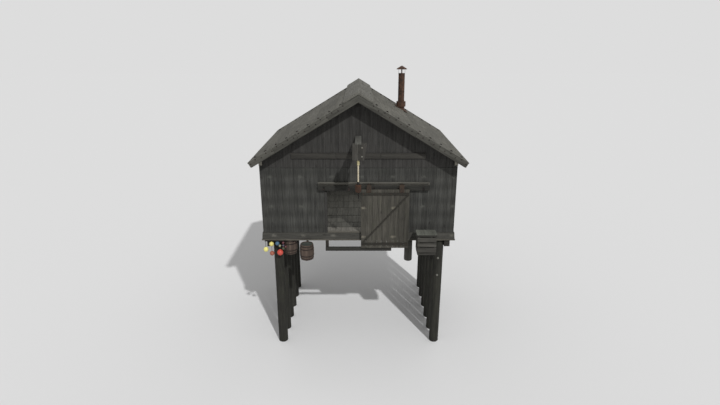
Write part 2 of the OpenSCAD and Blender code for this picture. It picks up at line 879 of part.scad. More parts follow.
// Square plate on the laps, with a sleeve round the pipe and a ring on the sleeve
module pipe_collar() placed() color("#4a3830")
  difference() {
    s_mid = (pipe_x - roof_t * sin(pitch)) / cos(pitch);
    union() {
      along_y(pipe_y - plate_flash / 2, pipe_y + plate_flash / 2)
        slope_strip(s_mid - plate_flash / 2, s_mid + plate_flash / 2, roof_t, roof_t + flash_t);
      intersection() {
        union() {
          translate([pipe_x, pipe_y, pipe_z0])
            cylinder(h = collar_z1 - pipe_z0, d = pipe_d + 2 * sleeve_t, $fn = 64);
          translate([pipe_x, pipe_y, collar_z1 - collar_ring])
            cylinder(h = collar_ring, d = collar_d, $fn = 64);
        }
        along_y(pipe_y - plate_flash / 2, pipe_y + plate_flash / 2)
          slope_strip(s_mid - plate_flash, s_mid + plate_flash, roof_t, roof_t + 2 * plate_flash);
      }
    }
    translate([pipe_x, pipe_y, pipe_z0])
      cylinder(h = pipe_z1, r = pipe_d / 2 + pipe_gap, $fn = 64);
  }

// Cone on four lugs that stand on the pipe's rim
module pipe_hat() placed() color("#5a4030")
  translate([pipe_x, pipe_y, pipe_z1]) {
    translate([0, 0, hat_gap])
      rotate_extrude($fn = 64)
        polygon([[0, 0], [hat_d / 2, 0], [hat_d / 2, hat_rim], [hat_flat, hat_h], [0, hat_h]]);
    for (turn = [0:90:270])
      rotate([0, 0, turn])
        block([pipe_d / 2 - pipe_t, -lug_w / 2, pipe_gap], [pipe_d / 2, lug_w / 2, hat_gap]);
  }

// ---------- Gear on the front sill ----------

// Boarded crate, a little narrower at its foot, under a lid
module crate() placed() color("#55554e")
  translate([crate_x, gear_back - crate_d / 2, crate_z0]) {
    board_h = (crate_h - lid_h) / crate_boards;
    core_in = lid_out + foot_in + crate_groove;
    for (i = [0:crate_boards - 1])
      crate_band(lid_out + (i == 0 ? foot_in : 0), i * board_h, (i + 1) * board_h - crate_groove);
    crate_band(core_in, 0, crate_h - lid_h);
    crate_band(0, crate_h - lid_h, crate_h);
  }

// A band round the crate between two heights, the given distance inside the lid's edge
module crate_band(inset, low, high) {
  x = crate_w / 2 - inset;
  y = crate_d / 2 - inset;
  block([-x, -y, low], [x, y, high]);
}

// Bulged staves between two recessed heads, with four hoops
module keg() {
  bulge = (keg_belly - keg_head) / 2;
  rise = keg_h / 2;
  arc_r = (rise * rise + bulge * bulge) / (2 * bulge);
  stave_r = function(z) keg_belly / 2 - arc_r + sqrt(arc_r * arc_r - pow(z - rise, 2));
  rotate_extrude($fn = 64)
    polygon(concat(
      [[0, keg_rim], [keg_head / 2 - keg_rim, keg_rim], [keg_head / 2 - keg_rim, 0]],
      [for (i = [0:12]) [stave_r(i * keg_h / 12), i * keg_h / 12]],
      [[keg_head / 2 - keg_rim, keg_h], [keg_head / 2 - keg_rim, keg_h - keg_rim], [0, keg_h - keg_rim]]
    ));
  for (z = [0.06, 0.24, 0.70, 0.88])
    translate([0, 0, z * keg_h])
      difference() {
        cylinder(h = hoop_h, r = max(stave_r(z * keg_h), stave_r(z * keg_h + hoop_h)) + hoop_t, $fn = 64);
        translate([0, 0, -1]) cylinder(h = hoop_h + 2, r = keg_head / 2 - keg_rim + hoop_t, $fn = 64);
      }
}

module kegs() placed() color("#57483f")
  for (i = [0, 1])
    translate([keg_xs[i], keg_ys[i], keg_z0]) keg();

// Flat iron bar bent twice: under a joist from seat_y, down behind the gear and out under it
module gear_bracket(x, seat_y, leg_y, foot_y, foot_z) {
  leg_back = leg_y + bracket_t;
  along_x(x - bracket_w / 2, x + bracket_w / 2) {
    bracket_bar(min(seat_y, leg_y), max(seat_y, leg_back), frame_bottom - bracket_t, frame_bottom);
    bracket_bar(leg_y, leg_back, foot_z - bracket_t, frame_bottom);
    bracket_bar(foot_y, leg_back, foot_z - bracket_t, foot_z);
  }
}

module bracket_bar(y0, y1, z0, z1) {
  translate([y0, z0]) square([y1 - y0, z1 - z0]);
}

// The rear keg hangs from the joist over the first piles, the rest from the front joist
module gear_brackets() placed() color("#2c2a28") {
  seats = [pile_front - joist_w / 2, joist_w / 2];
  for (i = [0, 1])
    gear_bracket(keg_xs[i], seats[i], keg_ys[i] + keg_belly / 2 + leg_gap,
      keg_ys[i] - keg_head / 2, keg_z0);
  for (side = [-1, 1])
    gear_bracket(crate_x + side * crate_w / 3, joist_w / 2, bracket_t - skirt_flare,
      gear_back - crate_d + bracket_w, crate_z0);
}

module fender_post() placed() color("#3c3a36")
  translate([fender_x, fender_y, frame_bottom - fender_len])
    cylinder(h = fender_len, d = fender_d, $fn = 48);

// Each string of floats: its place from the house's left side, then how far below the
// rack each float's middle hangs and its diameter
float_strings = [
  [90, [[377, 210]]],
  [340, [[128, 200], [557, 200]]],
  [588, [[102, 180]]],
  [690, [[214, 110], [515, 260]]],
  [835, [[75, 110], [200, 100], [335, 130]]],
  [930, [[255, 90]]]
];
function string_x(string) = string[0] - half_w;
rack_z = frame_bottom - rack_t;
collar_r = 18;
collar_out = 8;
pile_gap = 10;

module net_floats() placed() color("#d8cc60")
  for (string = float_strings)
    for (f = string[1])
      translate([string_x(string), float_y, rack_z - f[0]])
        union() {
          sphere(d = f[1], $fn = 48);
          cylinder(h = f[1] + 2 * collar_out, r = collar_r, center = true, $fn = 32);
        }

// A wire between two depths below the rack
module float_wire(x, upper, lower) {
  translate([x, float_y, rack_z - lower])
    cylinder(h = lower - upper, d = float_bar, $fn = 24);
}

// Iron strip in front of the side beam, with a tab under the front joist and wires down
// to the floats
module float_rack() placed() color("#2c2a28") {
  first = string_x(float_strings[0]) - rack_half;
  last = string_x(float_strings[len(float_strings) - 1]) + rack_half;
  tab = pile_gap - beam_in;
  front = float_y - rack_half;
  translate([0, 0, rack_z])
    linear_extrude(rack_t)
      polygon([
        [first, front], [last, front], [last, joist_w / 3], [tab, joist_w / 3],
        [tab, -pile_gap], [first, -pile_gap]
      ]);
  for (string = float_strings)
    for (i = [0:len(string[1]) - 1]) {
      f = string[1][i];
      above = i == 0 ? [0, 0] : string[1][i - 1];
      upper = i == 0 ? -rack_t / 2 : above[0] + above[1] / 2 + collar_out;
      float_wire(string_x(string), upper, f[0] - f[1] / 2 - collar_out);
    }
}

piles_left();
piles_right();
side_beams();
floor_joists();
floor_deck();
end_skirts();
side_skirts();
front_wall_left();
front_wall_right();
front_wall_over_door();
front_gable();
back_wall();
back_gable();
left_wall();
right_wall();
gable_ledgers();
wall_plates();
ridge_beam();
rafters_left();
rafters_right();
roof_left();
roof_right();
ridge_cap_left();
ridge_cap_right();
barge_boards_left();
barge_boards_right();
door_jambs();
door_head();
door_sill();
door_track();
track_cover();
guide_rail();
guide_hangers();
door_leaf();
door_bars();
door_brace();
door_hangers();
door_rollers();
hoist_beam();
hoist_block();
hoist_sheave();
hoist_rope();
hook_weight();
hoist_hook();
stove_pipe();
pipe_collar();
pipe_hat();
crate();
kegs();
gear_brackets();
fender_post();
net_floats();
float_rack();
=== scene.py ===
import math

import bpy
import numpy as np
from mathutils import Matrix, Vector, noise


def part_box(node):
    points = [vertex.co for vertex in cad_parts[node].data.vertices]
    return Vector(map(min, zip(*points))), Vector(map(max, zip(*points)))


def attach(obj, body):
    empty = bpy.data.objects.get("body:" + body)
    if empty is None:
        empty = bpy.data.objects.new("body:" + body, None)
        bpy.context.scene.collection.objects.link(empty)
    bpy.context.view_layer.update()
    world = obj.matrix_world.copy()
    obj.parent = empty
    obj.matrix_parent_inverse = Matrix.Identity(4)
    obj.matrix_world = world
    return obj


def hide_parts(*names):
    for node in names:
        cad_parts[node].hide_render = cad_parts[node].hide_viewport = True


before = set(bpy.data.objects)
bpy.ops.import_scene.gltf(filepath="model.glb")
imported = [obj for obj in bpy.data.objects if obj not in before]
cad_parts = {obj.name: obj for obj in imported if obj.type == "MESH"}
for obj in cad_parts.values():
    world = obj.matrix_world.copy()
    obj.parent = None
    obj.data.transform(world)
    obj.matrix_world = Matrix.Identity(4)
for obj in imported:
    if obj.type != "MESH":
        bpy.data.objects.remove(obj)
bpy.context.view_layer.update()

# ---------- Values, in metres ----------

# Roof, as in the part's source: s runs down a slope from the ridge, t square to it
PITCH = math.radians(31)
COURSES = 10
COVER_T = 0.05
LAP_T = 0.035
ROOF_T = COVER_T + LAP_T
CAP_COVER = 0.595
CAP_T = 0.08
BARGE_T = 0.04
BARGE_DROP = 0.15
RAFTER_H = 0.16
RIDGE_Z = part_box("rafters_right")[1].z
EAVE_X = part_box("roof_right")[1].x
ROOF_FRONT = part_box("barge_boards_right")[0].y
ROOF_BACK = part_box("barge_boards_right")[1].y
SLOPE_LEN = EAVE_X / math.cos(PITCH) - ROOF_T * math.tan(PITCH)
COURSE = SLOPE_LEN / COURSES
# The faces of the barge boards lie this far in, so that the nail heads stand out from them.
VERGE_NAIL_H = 0.009
# Large bolts run up the slopes this far in from the verges.
VERGE_BOLT_IN = 0.6
# The boards of a course meet over two of these rafters.
COURSE_JOINTS = [-1.25, 0.0, 1.26, 2.5]

# Walls
FRONT_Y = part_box("front_wall_left")[0].y
BACK_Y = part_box("back_wall")[1].y
HALF_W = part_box("back_wall")[1].x
DECK_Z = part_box("floor_deck")[1].z
SPLIT_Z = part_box("front_gable")[0].z
WALL_T = 0.12
BOARD_W = 0.17
BOARD_T = 0.028
BOARD_GAP = 0.001
# The walls are nailed to rails at these heights. Above the drip at CLADDING_Z the end walls
# and gables have cladding of their own.
RAIL_ZS = [5.67, 6.59, 7.89]
CLADDING_Z = 8.28
# Pale worn spots on the walls, the skirt and the leaf stand on a grid of x + y and z, and the
# walls have darker and lighter bands across them.
PATCH_AT = (-2.415, 6.61)
PATCH_STEP = (1.26, 1.28)
BAND_STEP = 0.597
BAND_Z = 7.63

# Floor: the ends of its boards, and the y up to which they are pale, as painted sunlight inside
# the doorway
DECK_JOINTS = [-1.92, -1.31, -0.42, 0.67, 1.72, 2.8]
PAINTED_SUNLIT_DECK_Y = -1.5
SKIRT_STRIP_H = 0.045
PILE_BOLT_ZS = [3.42, 4.23]

# The board over the door track stands back from the track's face.
COVER_SETBACK = 0.09
HOIST_BOLT_ZS = [9.15, 9.48]
HOIST_BOLT_X = 0.137

# The hoist rope hangs from the sheave through these points of its route.
ROPE_D = 0.055
ROPE_X = 0.0
ROPE_Y = -4.305
ROPE_TOP = 9.17
ROPE_DROPS = [
    0, 0.06, 0.12, 0.18, 0.24, 0.31, 0.38, 0.45, 0.52, 0.59, 0.66, 0.73, 0.80, 0.87,
    0.94, 1.01, 1.10,
]
ROPE_LEN = ROPE_DROPS[-1]
STRAND_LAY = 0.2

# The crate's rows of boards: foot and top as shares of its height below the lid, inset, tone
CRATE_ROWS = [
    (0.0, 0.09, 0.036, -0.8), (0.13, 0.40, 0.02, -0.6), (0.45, 0.64, 0.02, 0.2),
    (0.695, 0.935, 0.02, 0.6),
]
KEG_HEAD_D = 0.53
KEG_STAVES = 20
# Where the hoops sit, as shares of a keg's height
HOOP_FEET = [0.06, 0.24, 0.70, 0.88]
HOOP_H = 0.04
# Colours of the net floats, by string from left to right, each string from its foot up
FLOAT_PAINTS = [
    [(226, 220, 130)], [(150, 82, 62), (218, 206, 120)], [(58, 92, 118)],
    [(196, 70, 56), (140, 142, 112)], [(62, 68, 46), (76, 68, 82), (90, 42, 48)], [(98, 50, 54)],
]

ROLLS = np.random.RandomState(31)


# ---------- Bench tools ----------

def moved(x, y, z):
    return Matrix.Translation((x, y, z))


def turned_by(degrees, axis="Z"):
    return Matrix.Rotation(math.radians(degrees), 4, axis)


def pairs(values):
    return zip(values[:-1], values[1:])


def tint(most=1.0):
    return ROLLS.uniform(-most, most)


def deselect():
    if bpy.context.object and bpy.context.object.mode != "OBJECT":
        bpy.ops.object.mode_set(mode="OBJECT")
    bpy.ops.object.select_all(action="DESELECT")


def take(piece):
    """Makes a piece the only one selected, and the active one."""
    deselect()
    piece.select_set(True)
    bpy.context.view_layer.objects.active = piece


def remove(*pieces):
    for piece in pieces:
        bpy.data.objects.remove(piece)


def apply_place(piece):
    take(piece)
    bpy.ops.object.transform_apply(location=True, rotation=True, scale=True)


def modify(piece, kind, **settings):
    """Adds a modifier, sets it and applies it."""
    take(piece)
    made = piece.modifiers.new(kind.title(), kind)
    for key, value in settings.items():
        setattr(made, key, value)
    bpy.ops.object.modifier_apply(modifier=made.name)


def in_edit_mode(piece, work):
    """Does some work in edit mode, with all of the piece selected."""
    take(piece)
    bpy.ops.object.mode_set(mode="EDIT")
    bpy.ops.mesh.select_all(action="SELECT")
    work()
    bpy.ops.object.mode_set(mode="OBJECT")


def face_out():
    bpy.ops.mesh.select_all(action="SELECT")
    bpy.ops.mesh.normals_make_consistent(inside=False)


def made_block(name, size, bevel, segments=1):
    """A cube with its edges taken off, from which boards and timbers are copied."""
    deselect()
    bpy.ops.mesh.primitive_cube_add(size=size)
    block = bpy.context.object
    block.name = name
    modify(block, "BEVEL", width=bevel, segments=segments)
    return block


def mirrored(rings):
    """Rings below the middle, and the same above it."""
    return rings + [(-z, r) for z, r in reversed(rings)]


def turned(name, rings, sides=32, at=Matrix()):
    """A round piece: a disc at the first (height, radius) ring, drawn up through the others."""
    deselect()
    z, r = rings[0]
    bpy.ops.mesh.primitive_circle_add(
        vertices=sides, radius=r, fill_type="NGON", location=(0, 0, z))
    piece = bpy.context.object
    piece.name = name
    apply_place(piece)

    def draw_up():
        for (z, r), (next_z, next_r) in pairs(rings):
            bpy.ops.mesh.extrude_region_move(
                TRANSFORM_OT_translate={"value": (0, 0, next_z - z)})
            bpy.ops.transform.resize(
                value=(next_r / r, next_r / r, 1), center_override=(0, 0, next_z))
        face_out()

    in_edit_mode(piece, draw_up)
    piece.data.transform(at)
    return piece


def cut(piece, point, outwards):
    """Saws a piece along a plane and closes the cut faces. What lies outwards falls off."""
    in_edit_mode(piece, lambda: bpy.ops.mesh.bisect(
        plane_co=point, plane_no=outwards, use_fill=True, clear_outer=True))


def corner_points(piece):
    co = np.empty(len(piece.data.vertices) * 3)
    piece.data.vertices.foreach_get("co", co)
    return co.reshape(-1, 3)


def reshape(piece, points):
    piece.data.vertices.foreach_set("co", np.asarray(points, float).ravel())
    piece.data.update()


def fitted(low, high, tone=None, matrix=Matrix()):
    """A place that a blank is fitted to, between two corners. Its tint is drawn if not given."""
    return {"low": low, "high": high, "matrix": matrix, "tint": tint() if tone is None else tone}


def set_at(matrix, tone=0.0):
    """A place that a blank goes to as it is."""
    return {"matrix": matrix, "tint": tone}


def facing_front(x, y, z, size=1.0, matrix=Matrix()):
    """A place for a bolt, nail or wheel that looks forwards."""
    return set_at(matrix @ moved(x, y, z) @ turned_by(90, "X") @ Matrix.Scale(size, 4))


def copies(name, blank, places, warp=0.0):
    """One mesh of many copies of a blank, each in its place, with each corner of a board moved
    by up to the warp."""
    shape = corner_points(blank)
    half = np.abs(shape).max(0)
    octant = (shape > 0) @ np.array([1, 2, 4])
    faces = [list(face.vertices) for face in blank.data.polygons]
    points, tints = [], []
    for place in places:
        copy = shape
        if "low" in place:
            low, high = np.array(place["low"]), np.array(place["high"])
            copy = np.where(shape > 0, high - half + shape, low + half + shape)
        if warp:
            copy = copy + ROLLS.uniform(-warp, warp, (8, 3))[octant]
        matrix = np.array(place["matrix"])
        points.append(copy @ matrix[:3, :3].T + matrix[:3, 3])
        tints.append(np.full(len(shape), place["tint"]))
    made = bpy.data.meshes.new(name)
    made.from_pydata(np.concatenate(points).tolist(), [], [
        [i * len(shape) + corner for corner in face] for i in range(len(places))
        for face in faces])
    made.validate()
    attribute = made.attributes.new("tint", "FLOAT", "POINT")
    attribute.data.foreach_set("value", np.concatenate(tints).astype(np.float32))
    piece = bpy.data.objects.new(name, made)
    bpy.context.scene.collection.objects.link(piece)
    return piece


def joined(name, pieces):
    take(pieces[0])
    for piece in pieces:
        piece.select_set(True)
    bpy.ops.object.join()
    pieces[0].name = name
    return pieces[0]


def finished(piece, material, slot, replaces=(), body="house", smooth=30):
    """Gives a piece its material, its body and the CAD nodes that it stands for. The slot is not
    used.
    """
    piece.data.materials.clear()
    piece.data.materials.append(material)
    take(piece)
    bpy.ops.object.shade_smooth_by_angle(angle=math.radians(smooth))
    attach(piece, body)
    if replaces:
        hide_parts(*replaces)
    return piece


def laid(name, blank, places, material, slot, replaces=(), body="house", warp=0.0):
    return finished(copies(name, blank, places, warp), material, slot, replaces, body)


def finish_node(material, *names):
    """Gives CAD nodes their better material."""
    for name in names:
        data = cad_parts[name].data
        data.materials.clear()
        data.materials.append(material)


def solids(name):
    """The (low, high) boxes of a CAD node's separate solids, from left to right."""
    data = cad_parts[name].data
    points = corner_points(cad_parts[name])
    _, spot = np.unique(np.round(points, 4), axis=0, return_inverse=True)
    spot = spot.ravel()
    group = np.arange(spot.max() + 1)

    def root(i):
        while group[i] != i:
            i = group[i]
        return i

    for edge in data.edges:
        a, b = (root(spot[v]) for v in edge.vertices)
        group[max(a, b)] = min(a, b)
    roots = np.array([root(i) for i in spot])
    boxes = [(points[roots == r].min(0), points[roots == r].max(0)) for r in np.unique(roots)]
    return sorted(boxes, key=lambda box: tuple(np.round(box[0] + box[1], 3)))


def timbers(name, nodes, material, slot, body="house", blank=None):
    """Square-edged timbers in the places of single-box CAD solids."""
    places = [fitted(low, high) for node_name in nodes for low, high in solids(node_name)]
    return laid(name, blank or TIMBER, places, material, slot, nodes, body)


def under_z(x):
    """Height of the rafters' underside."""
    return RIDGE_Z - RAFTER_H / math.cos(PITCH) - abs(x) * math.tan(PITCH)


def slope_matrix(side):
    """From (s, y, t) on a slope to the row frame. The left slope is the right one turned half
    round, so its y runs forwards."""
    c, s = math.cos(PITCH), math.sin(PITCH)
    right = Matrix(((c, 0, s, 0), (0, 1, 0, 0), (-s, 0, c, RIDGE_Z), (0, 0, 0, 1)))
    return right if side > 0 else turned_by(180) @ right


# ---------- Camera, light, floor ----------

def set_camera():
    bpy.ops.object.camera_add(
        location=(0.065, -21.865, 13.17), rotation=(math.radians(90 - 18.3), 0, 0))
    camera = bpy.context.object
    camera.data.lens = 24.445
    camera.data.sensor_width = 36
    bpy.context.scene.camera = camera


def set_light():
    """A sun from the front right, an even sky that shows as the plain background, and a soft
    lamp under the ridge beam, so that the floor shows through the doorway."""
    bpy.ops.object.light_add(type="SUN", location=(8, -16, 18))
    sun = bpy.context.object
    sun.rotation_euler = Vector((0.74, -1.67, 1.67)).to_track_quat("Z", "Y").to_euler()
    sun.data.energy = 2.25
    sun.data.angle = math.radians(1.5)
    world = bpy.data.worlds.new("Pale studio")
    bpy.context.scene.world = world
    world.use_nodes = True
    tree = world.node_tree
    tree.nodes.clear()
    path = tree.nodes.new("ShaderNodeLightPath").outputs
    seen = Signal(path["Is Camera Ray"]) + path["Is Glossy Ray"]
    seen = seen.maths("ADD", path["Is Transmission Ray"], clamp=True)
    light = node(tree, "ShaderNodeBackground", {"Color": (1, 1, 1, 1), "Strength": 0.53})
    back = node(tree, "ShaderNodeBackground", {"Color": colour((221, 221, 221)), "Strength": 1.0})
    mix = node(tree, "ShaderNodeMixShader", {0: seen, 1: light.outputs[0], 2: back.outputs[0]})
    node(tree, "ShaderNodeOutputWorld", {"Surface": mix.outputs[0]})
    bpy.ops.object.light_add(type="AREA", location=(0, 0.6, 9.1))
    lamp = bpy.context.object
    lamp.data.shape = "SQUARE"
    lamp.data.size = 3.0
    lamp.data.energy = 140.0


def set_floor():
    deselect()
    bpy.ops.mesh.primitive_plane_add(size=260, location=(0, 60, 0))
    floor = bpy.context.object
    floor.name = "studio_floor"
    apply_place(floor)
    material, _, _ = new_material("Studio floor")
    shaded(material, {"Base Color": (0.715, 0.715, 0.715, 1), "Roughness": 1.0,
                      "Specular IOR Level": 0.0})
    floor.data.materials.append(material)


# ---------- Materials ----------

MOSS_GREEN = (0.062, 0.075, 0.036, 1)
CRACK_BLACK = (0.012, 0.011, 0.010, 1)
PIT_BROWN = (0.012, 0.009, 0.007, 1)


def colour(rgb):
    """A colour given in 0 to 255 steps, as it looks, made linear."""
    def linear(v):
        v /= 255
        return v / 12.92 if v <= 0.04045 else ((v + 0.055) / 1.055) ** 2.4
    return (*(linear(v) for v in rgb), 1.0)


def node(tree, kind, inputs=None, **settings):
    """Adds a node. An input is another node's output, as a socket or a signal, or a value."""
    made = tree.nodes.new(kind)
    for key, value in settings.items():
        setattr(made, key, value)
    for key, value in (inputs or {}).items():
        value = getattr(value, "socket", value)
        if isinstance(value, bpy.types.NodeSocket):
            tree.links.new(value, made.inputs[key])
        else:
            made.inputs[key].default_value = value
    return made


class Signal:
    """A node's output to reckon with. What is made from it joins the same tree."""

    def __init__(self, socket):
        self.socket = socket

    def to(self, kind, inputs, output=0, **settings):
        made = node(self.socket.id_data, kind, inputs, **settings)
        return Signal(made.outputs[output])

    def maths(self, operation, *others, clamp=False):
        return self.to("ShaderNodeMath", dict(enumerate((self, *others))),
                       operation=operation, use_clamp=clamp)

    def __add__(self, other):
        return self.maths("ADD", other)

    def __sub__(self, other):
        return self.maths("SUBTRACT", other)

    def __mul__(self, other):
        return self.maths("MULTIPLY", other)

    def spread(self, low, high, to_low=0.0, to_high=1.0):
        """What lies from low to high, spread from to_low to to_high."""
        return self.to("ShaderNodeMapRange", {
            "Value": self, "From Min": low, "From Max": high,
            "To Min": to_low, "To Max": to_high}, "Result")

    def blend(self, a, b):
        """The colour a where this is 0, and b where it is 1."""
        return self.to("ShaderNodeMix", {0: self, 6: a, 7: b}, 2, data_type="RGBA")

    def scaled(self, factor):
        return self.to("ShaderNodeVectorMath", {0: self, "Scale": factor}, operation="SCALE")

    def stretched(self, *factors):
        return self.to("ShaderNodeVectorMath", {0: self, 1: factors}, operation="MULTIPLY")

    def cloud(self, scale, detail=3.0, rough=0.55):
        """Soft noise over this place."""
        return self.to("ShaderNodeTexNoise", {
            "Vector": self, "Scale": scale, "Detail": detail, "Roughness": rough}, "Fac")


def new_group(name, inputs, outputs):
    """An empty node group, and its inputs as signals by name."""
    tree = bpy.data.node_groups.new(name, "ShaderNodeTree")
    kinds = {"value": "NodeSocketFloat", "colour": "NodeSocketColor", "place": "NodeSocketVector"}
    for ends, in_out in ((inputs, "INPUT"), (outputs, "OUTPUT")):
        for label, kind in ends.items():
            tree.interface.new_socket(name=label, in_out=in_out, socket_type=kinds[kind])
    given = tree.nodes.new("NodeGroupInput").outputs
    return tree, {label: Signal(given[label]) for label in inputs}


def put_out(tree, **signals):
    """Gives a node group its outputs, which start with a capital letter there."""
    node(tree, "NodeGroupOutput", {label.capitalize(): made for label, made in signals.items()})
    return tree


def make_weathered_wood():
    """Grey, fibrous timber whose grain runs along z: fibres, streaks, cracks, knots, blotches,
    pale worn patches along the rails, and moss."""
    tree, given = new_group("Weathered wood", {
        "Place": "place", "Tint": "value", "Dark": "colour", "Light": "colour",
        "Patch": "colour", "Patches": "value", "Moss": "value", "Tint share": "value",
        "Bands": "value", "Patch shift": "value",
    }, {"Colour": "colour", "Roughness": "value", "Height": "value"})
    # Each board takes its own part of the pattern, by its tint.
    shift = given["Tint"].to("ShaderNodeVectorMath", {
        0: (7.3, 3.1, 5.9), "Scale": given["Tint"]}, operation="SCALE")
    place = given["Place"].to("ShaderNodeVectorMath", {
        0: given["Place"], 1: shift}, operation="ADD")
    fibre = place.stretched(1, 1, 0.04).cloud(85, 4, 0.65)
    streak = place.stretched(1, 1, 0.07).cloud(13, 3, 0.6)
    crack = place.stretched(1, 1, 0.02).cloud(38, 2, 0.5).spread(0.64, 0.72)
    knot = place.to("ShaderNodeTexVoronoi", {
        "Vector": place.stretched(1, 1, 0.45), "Scale": 2.3}, "Distance").spread(
        0.05, 0.11, 1.0, 0.0)
    base = (fibre * 0.45 + streak * 0.75).spread(0.38, 0.82).blend(given["Dark"], given["Light"])
    board = given["Tint"].maths("MULTIPLY_ADD", given["Tint share"], 1.0)
    tone = place.cloud(1.3, 4, 0.6).spread(0.3, 0.7, 0.9, 1.1) * board

    # Bands and worn patches run on from board to board, by the place on the whole house.
    x, y, z = (Signal(s) for s in node(tree, "ShaderNodeSeparateXYZ", {
        0: tree.nodes.new("ShaderNodeTexCoord").outputs["Object"]}).outputs)
    band = ((z - BAND_Z) * (2 * math.pi / BAND_STEP)).maths("SINE")
    toned = base.scaled(tone * band.maths("MULTIPLY_ADD", given["Bands"], 1.0))
    across = (x + y + given["Patch shift"] - PATCH_AT[0]).maths("PINGPONG", PATCH_STEP[0] / 2)
    up = (z - PATCH_AT[1]).maths("PINGPONG", PATCH_STEP[1] / 2)
    rail = (across * across + up * up * 3.0).maths("SQRT") + place.cloud(14) * 0.2
    worn = (rail.spread(0.1, 0.24, 1.0, 0.0) * given["Patches"]).blend(toned, given["Patch"])
    moss = place.cloud(2.1, 5, 0.7).spread(0.5, 0.68) * given["Moss"]
    green = moss.blend(worn, MOSS_GREEN)
    dark = (crack * 0.6).maths("MAXIMUM", knot * 0.5)
    return put_out(tree, colour=dark.blend(green, CRACK_BLACK),
                   roughness=fibre.spread(0.3, 0.7, 0.95, 0.75),
                   height=fibre * 0.35 + streak * 0.5 - dark * 0.8)


def make_rusted_iron():
    """Iron with brown scale, orange bloom and darker pits."""
    tree, given = new_group("Rusted iron", {
        "Place": "place", "Iron": "colour", "Rust": "colour", "Bloom": "colour",
        "Cover": "value",
    }, {"Colour": "colour", "Roughness": "value", "Metallic": "value", "Height": "value"})
    place = given["Place"]
    bloom = place.stretched(1, 1, 0.3).cloud(16, 5, 0.7)
    pits = place.cloud(110, 3, 0.6)
    rusted = (place.cloud(7, 6, 0.65) - given["Cover"]).spread(-0.12, 0.12, 1.0, 0.0)
    brown = bloom.spread(0.4, 0.66).blend(given["Rust"], given["Bloom"])
    pitted = pits.spread(0.35, 0.6, 0.45, 0.0).blend(
        rusted.blend(given["Iron"], brown), PIT_BROWN)
    return put_out(tree, colour=pitted, roughness=rusted.spread(0, 1, 0.5, 0.92),
                   metallic=rusted.spread(0, 1, 0.7, 0.05), height=pits * 0.5 + bloom * 0.6)


def new_material(name):
    """An empty material, its tree, and the place on Object coordinates."""
    material = bpy.data.materials.new(name)
    material.use_nodes = True
    tree = material.node_tree
    tree.nodes.clear()
    return material, tree, Signal(tree.nodes.new("ShaderNodeTexCoord").outputs["Object"])


def own_value(tree, name, output="Fac"):
    """A value that the piece's own points carry."""
    return Signal(node(tree, "ShaderNodeAttribute", attribute_name=name).outputs[output])


def shaded(material, inputs, height=None, depth=0.0, strength=0.6):
    """Gives a material its Principled shader, and a bump of the given depth."""
    tree = material.node_tree
    if height:
        bump = node(tree, "ShaderNodeBump", {
            "Height": height, "Strength": strength, "Distance": depth})
        inputs["Normal"] = bump.outputs[0]
    shader = node(tree, "ShaderNodeBsdfPrincipled", inputs)
    node(tree, "ShaderNodeOutputMaterial", {"Surface": shader.outputs[0]})
    return material


# How the pattern is turned so that the grain runs along z in it
GRAINS = {
    "z": (0, 0, 0),
    "x": (0, math.radians(90), 0),
    "y": (math.radians(90), 0, 0),
    "right slope": (0, math.radians(90) - PITCH, 0),
    "left slope": (0, PITCH - math.radians(90), 0),
}


def wood(name, grain, dark, light, patch=None, patches=0.0, moss=0.0, share=0.14, depth=0.006,
         bands=0.0, shift=0.0):
    material, tree, place = new_material(name)
    made = node(tree, "ShaderNodeGroup", {
        "Place": place.to("ShaderNodeMapping", {"Vector": place, "Rotation": GRAINS[grain]}),
        "Tint": own_value(tree, "tint"), "Dark": colour(dark), "Light": colour(light),
        "Patch": colour(patch or light), "Patches": patches, "Moss": moss, "Tint share": share,
        "Bands": bands, "Patch shift": shift}, node_tree=WEATHERED_WOOD).outputs
    return shaded(material, {
        "Base Color": made["Colour"], "Roughness": made["Roughness"],
        "Specular IOR Level": 0.25}, made["Height"], depth)


def iron(name, bare, rust, bloom, cover):
    material, tree, place = new_material(name)
    made = node(tree, "ShaderNodeGroup", {
        "Place": place, "Iron": colour(bare), "Rust": colour(rust), "Bloom": colour(bloom),
        "Cover": cover}, node_tree=RUSTED_IRON).outputs
    return shaded(material, {
        "Base Color": made["Colour"], "Roughness": made["Roughness"],
        "Metallic": made["Metallic"]}, made["Height"], 0.003)


def rope_fibre():
    """Pale twisted fibre, darker between the strands, with fine yarns across them."""
    material, tree, place = new_material("Hoist rope")
    yarns = place.stretched(1, 1, 0.5).cloud(160, 3, 0.6)
    base = yarns.spread(0.3, 0.7).blend(colour((168, 156, 128)), colour((232, 224, 202)))
    soil = place.cloud(9, 4, 0.6).spread(0.45, 0.75, 0.0, 0.5)
    base = soil.blend(base, colour((150, 128, 92)))
    base = (own_value(tree, "groove") * 0.75).blend(base, colour((88, 72, 50)))
    return shaded(material, {"Base Color": base, "Roughness": 0.9}, yarns, 0.002)


def float_paint():
    """Worn paint in each float's own colour, of uneven tone and scuffed to grey."""
    material, tree, place = new_material("Net float paint")
    scuff = place.cloud(38, 5, 0.7)
    tone = place.cloud(14, 4, 0.6).spread(0.3, 0.7, 0.8, 1.15)
    toned = own_value(tree, "paint", "Color").scaled(tone)
    worn = scuff.spread(0.58, 0.68, 0.0, 0.7).blend(toned, colour((120, 120, 120)))
    return shaded(material, {
        "Base Color": worn, "Roughness": scuff.spread(0.4, 0.7, 0.42, 0.8)}, scuff, 0.002, 0.4)


# ---------- Walls ----------

def laid_boards(half):
    """Upright boards of uneven width from -half to half: left, right, face and tint."""
    count = round(2 * half / BOARD_W)
    edges = np.linspace(-half, half, count + 1)
    edges[1:-1] += ROLLS.uniform(-0.03, 0.03, count - 1)
    return [(left, right, ROLLS.uniform(0, 0.006), tint()) for left, right in pairs(edges)]


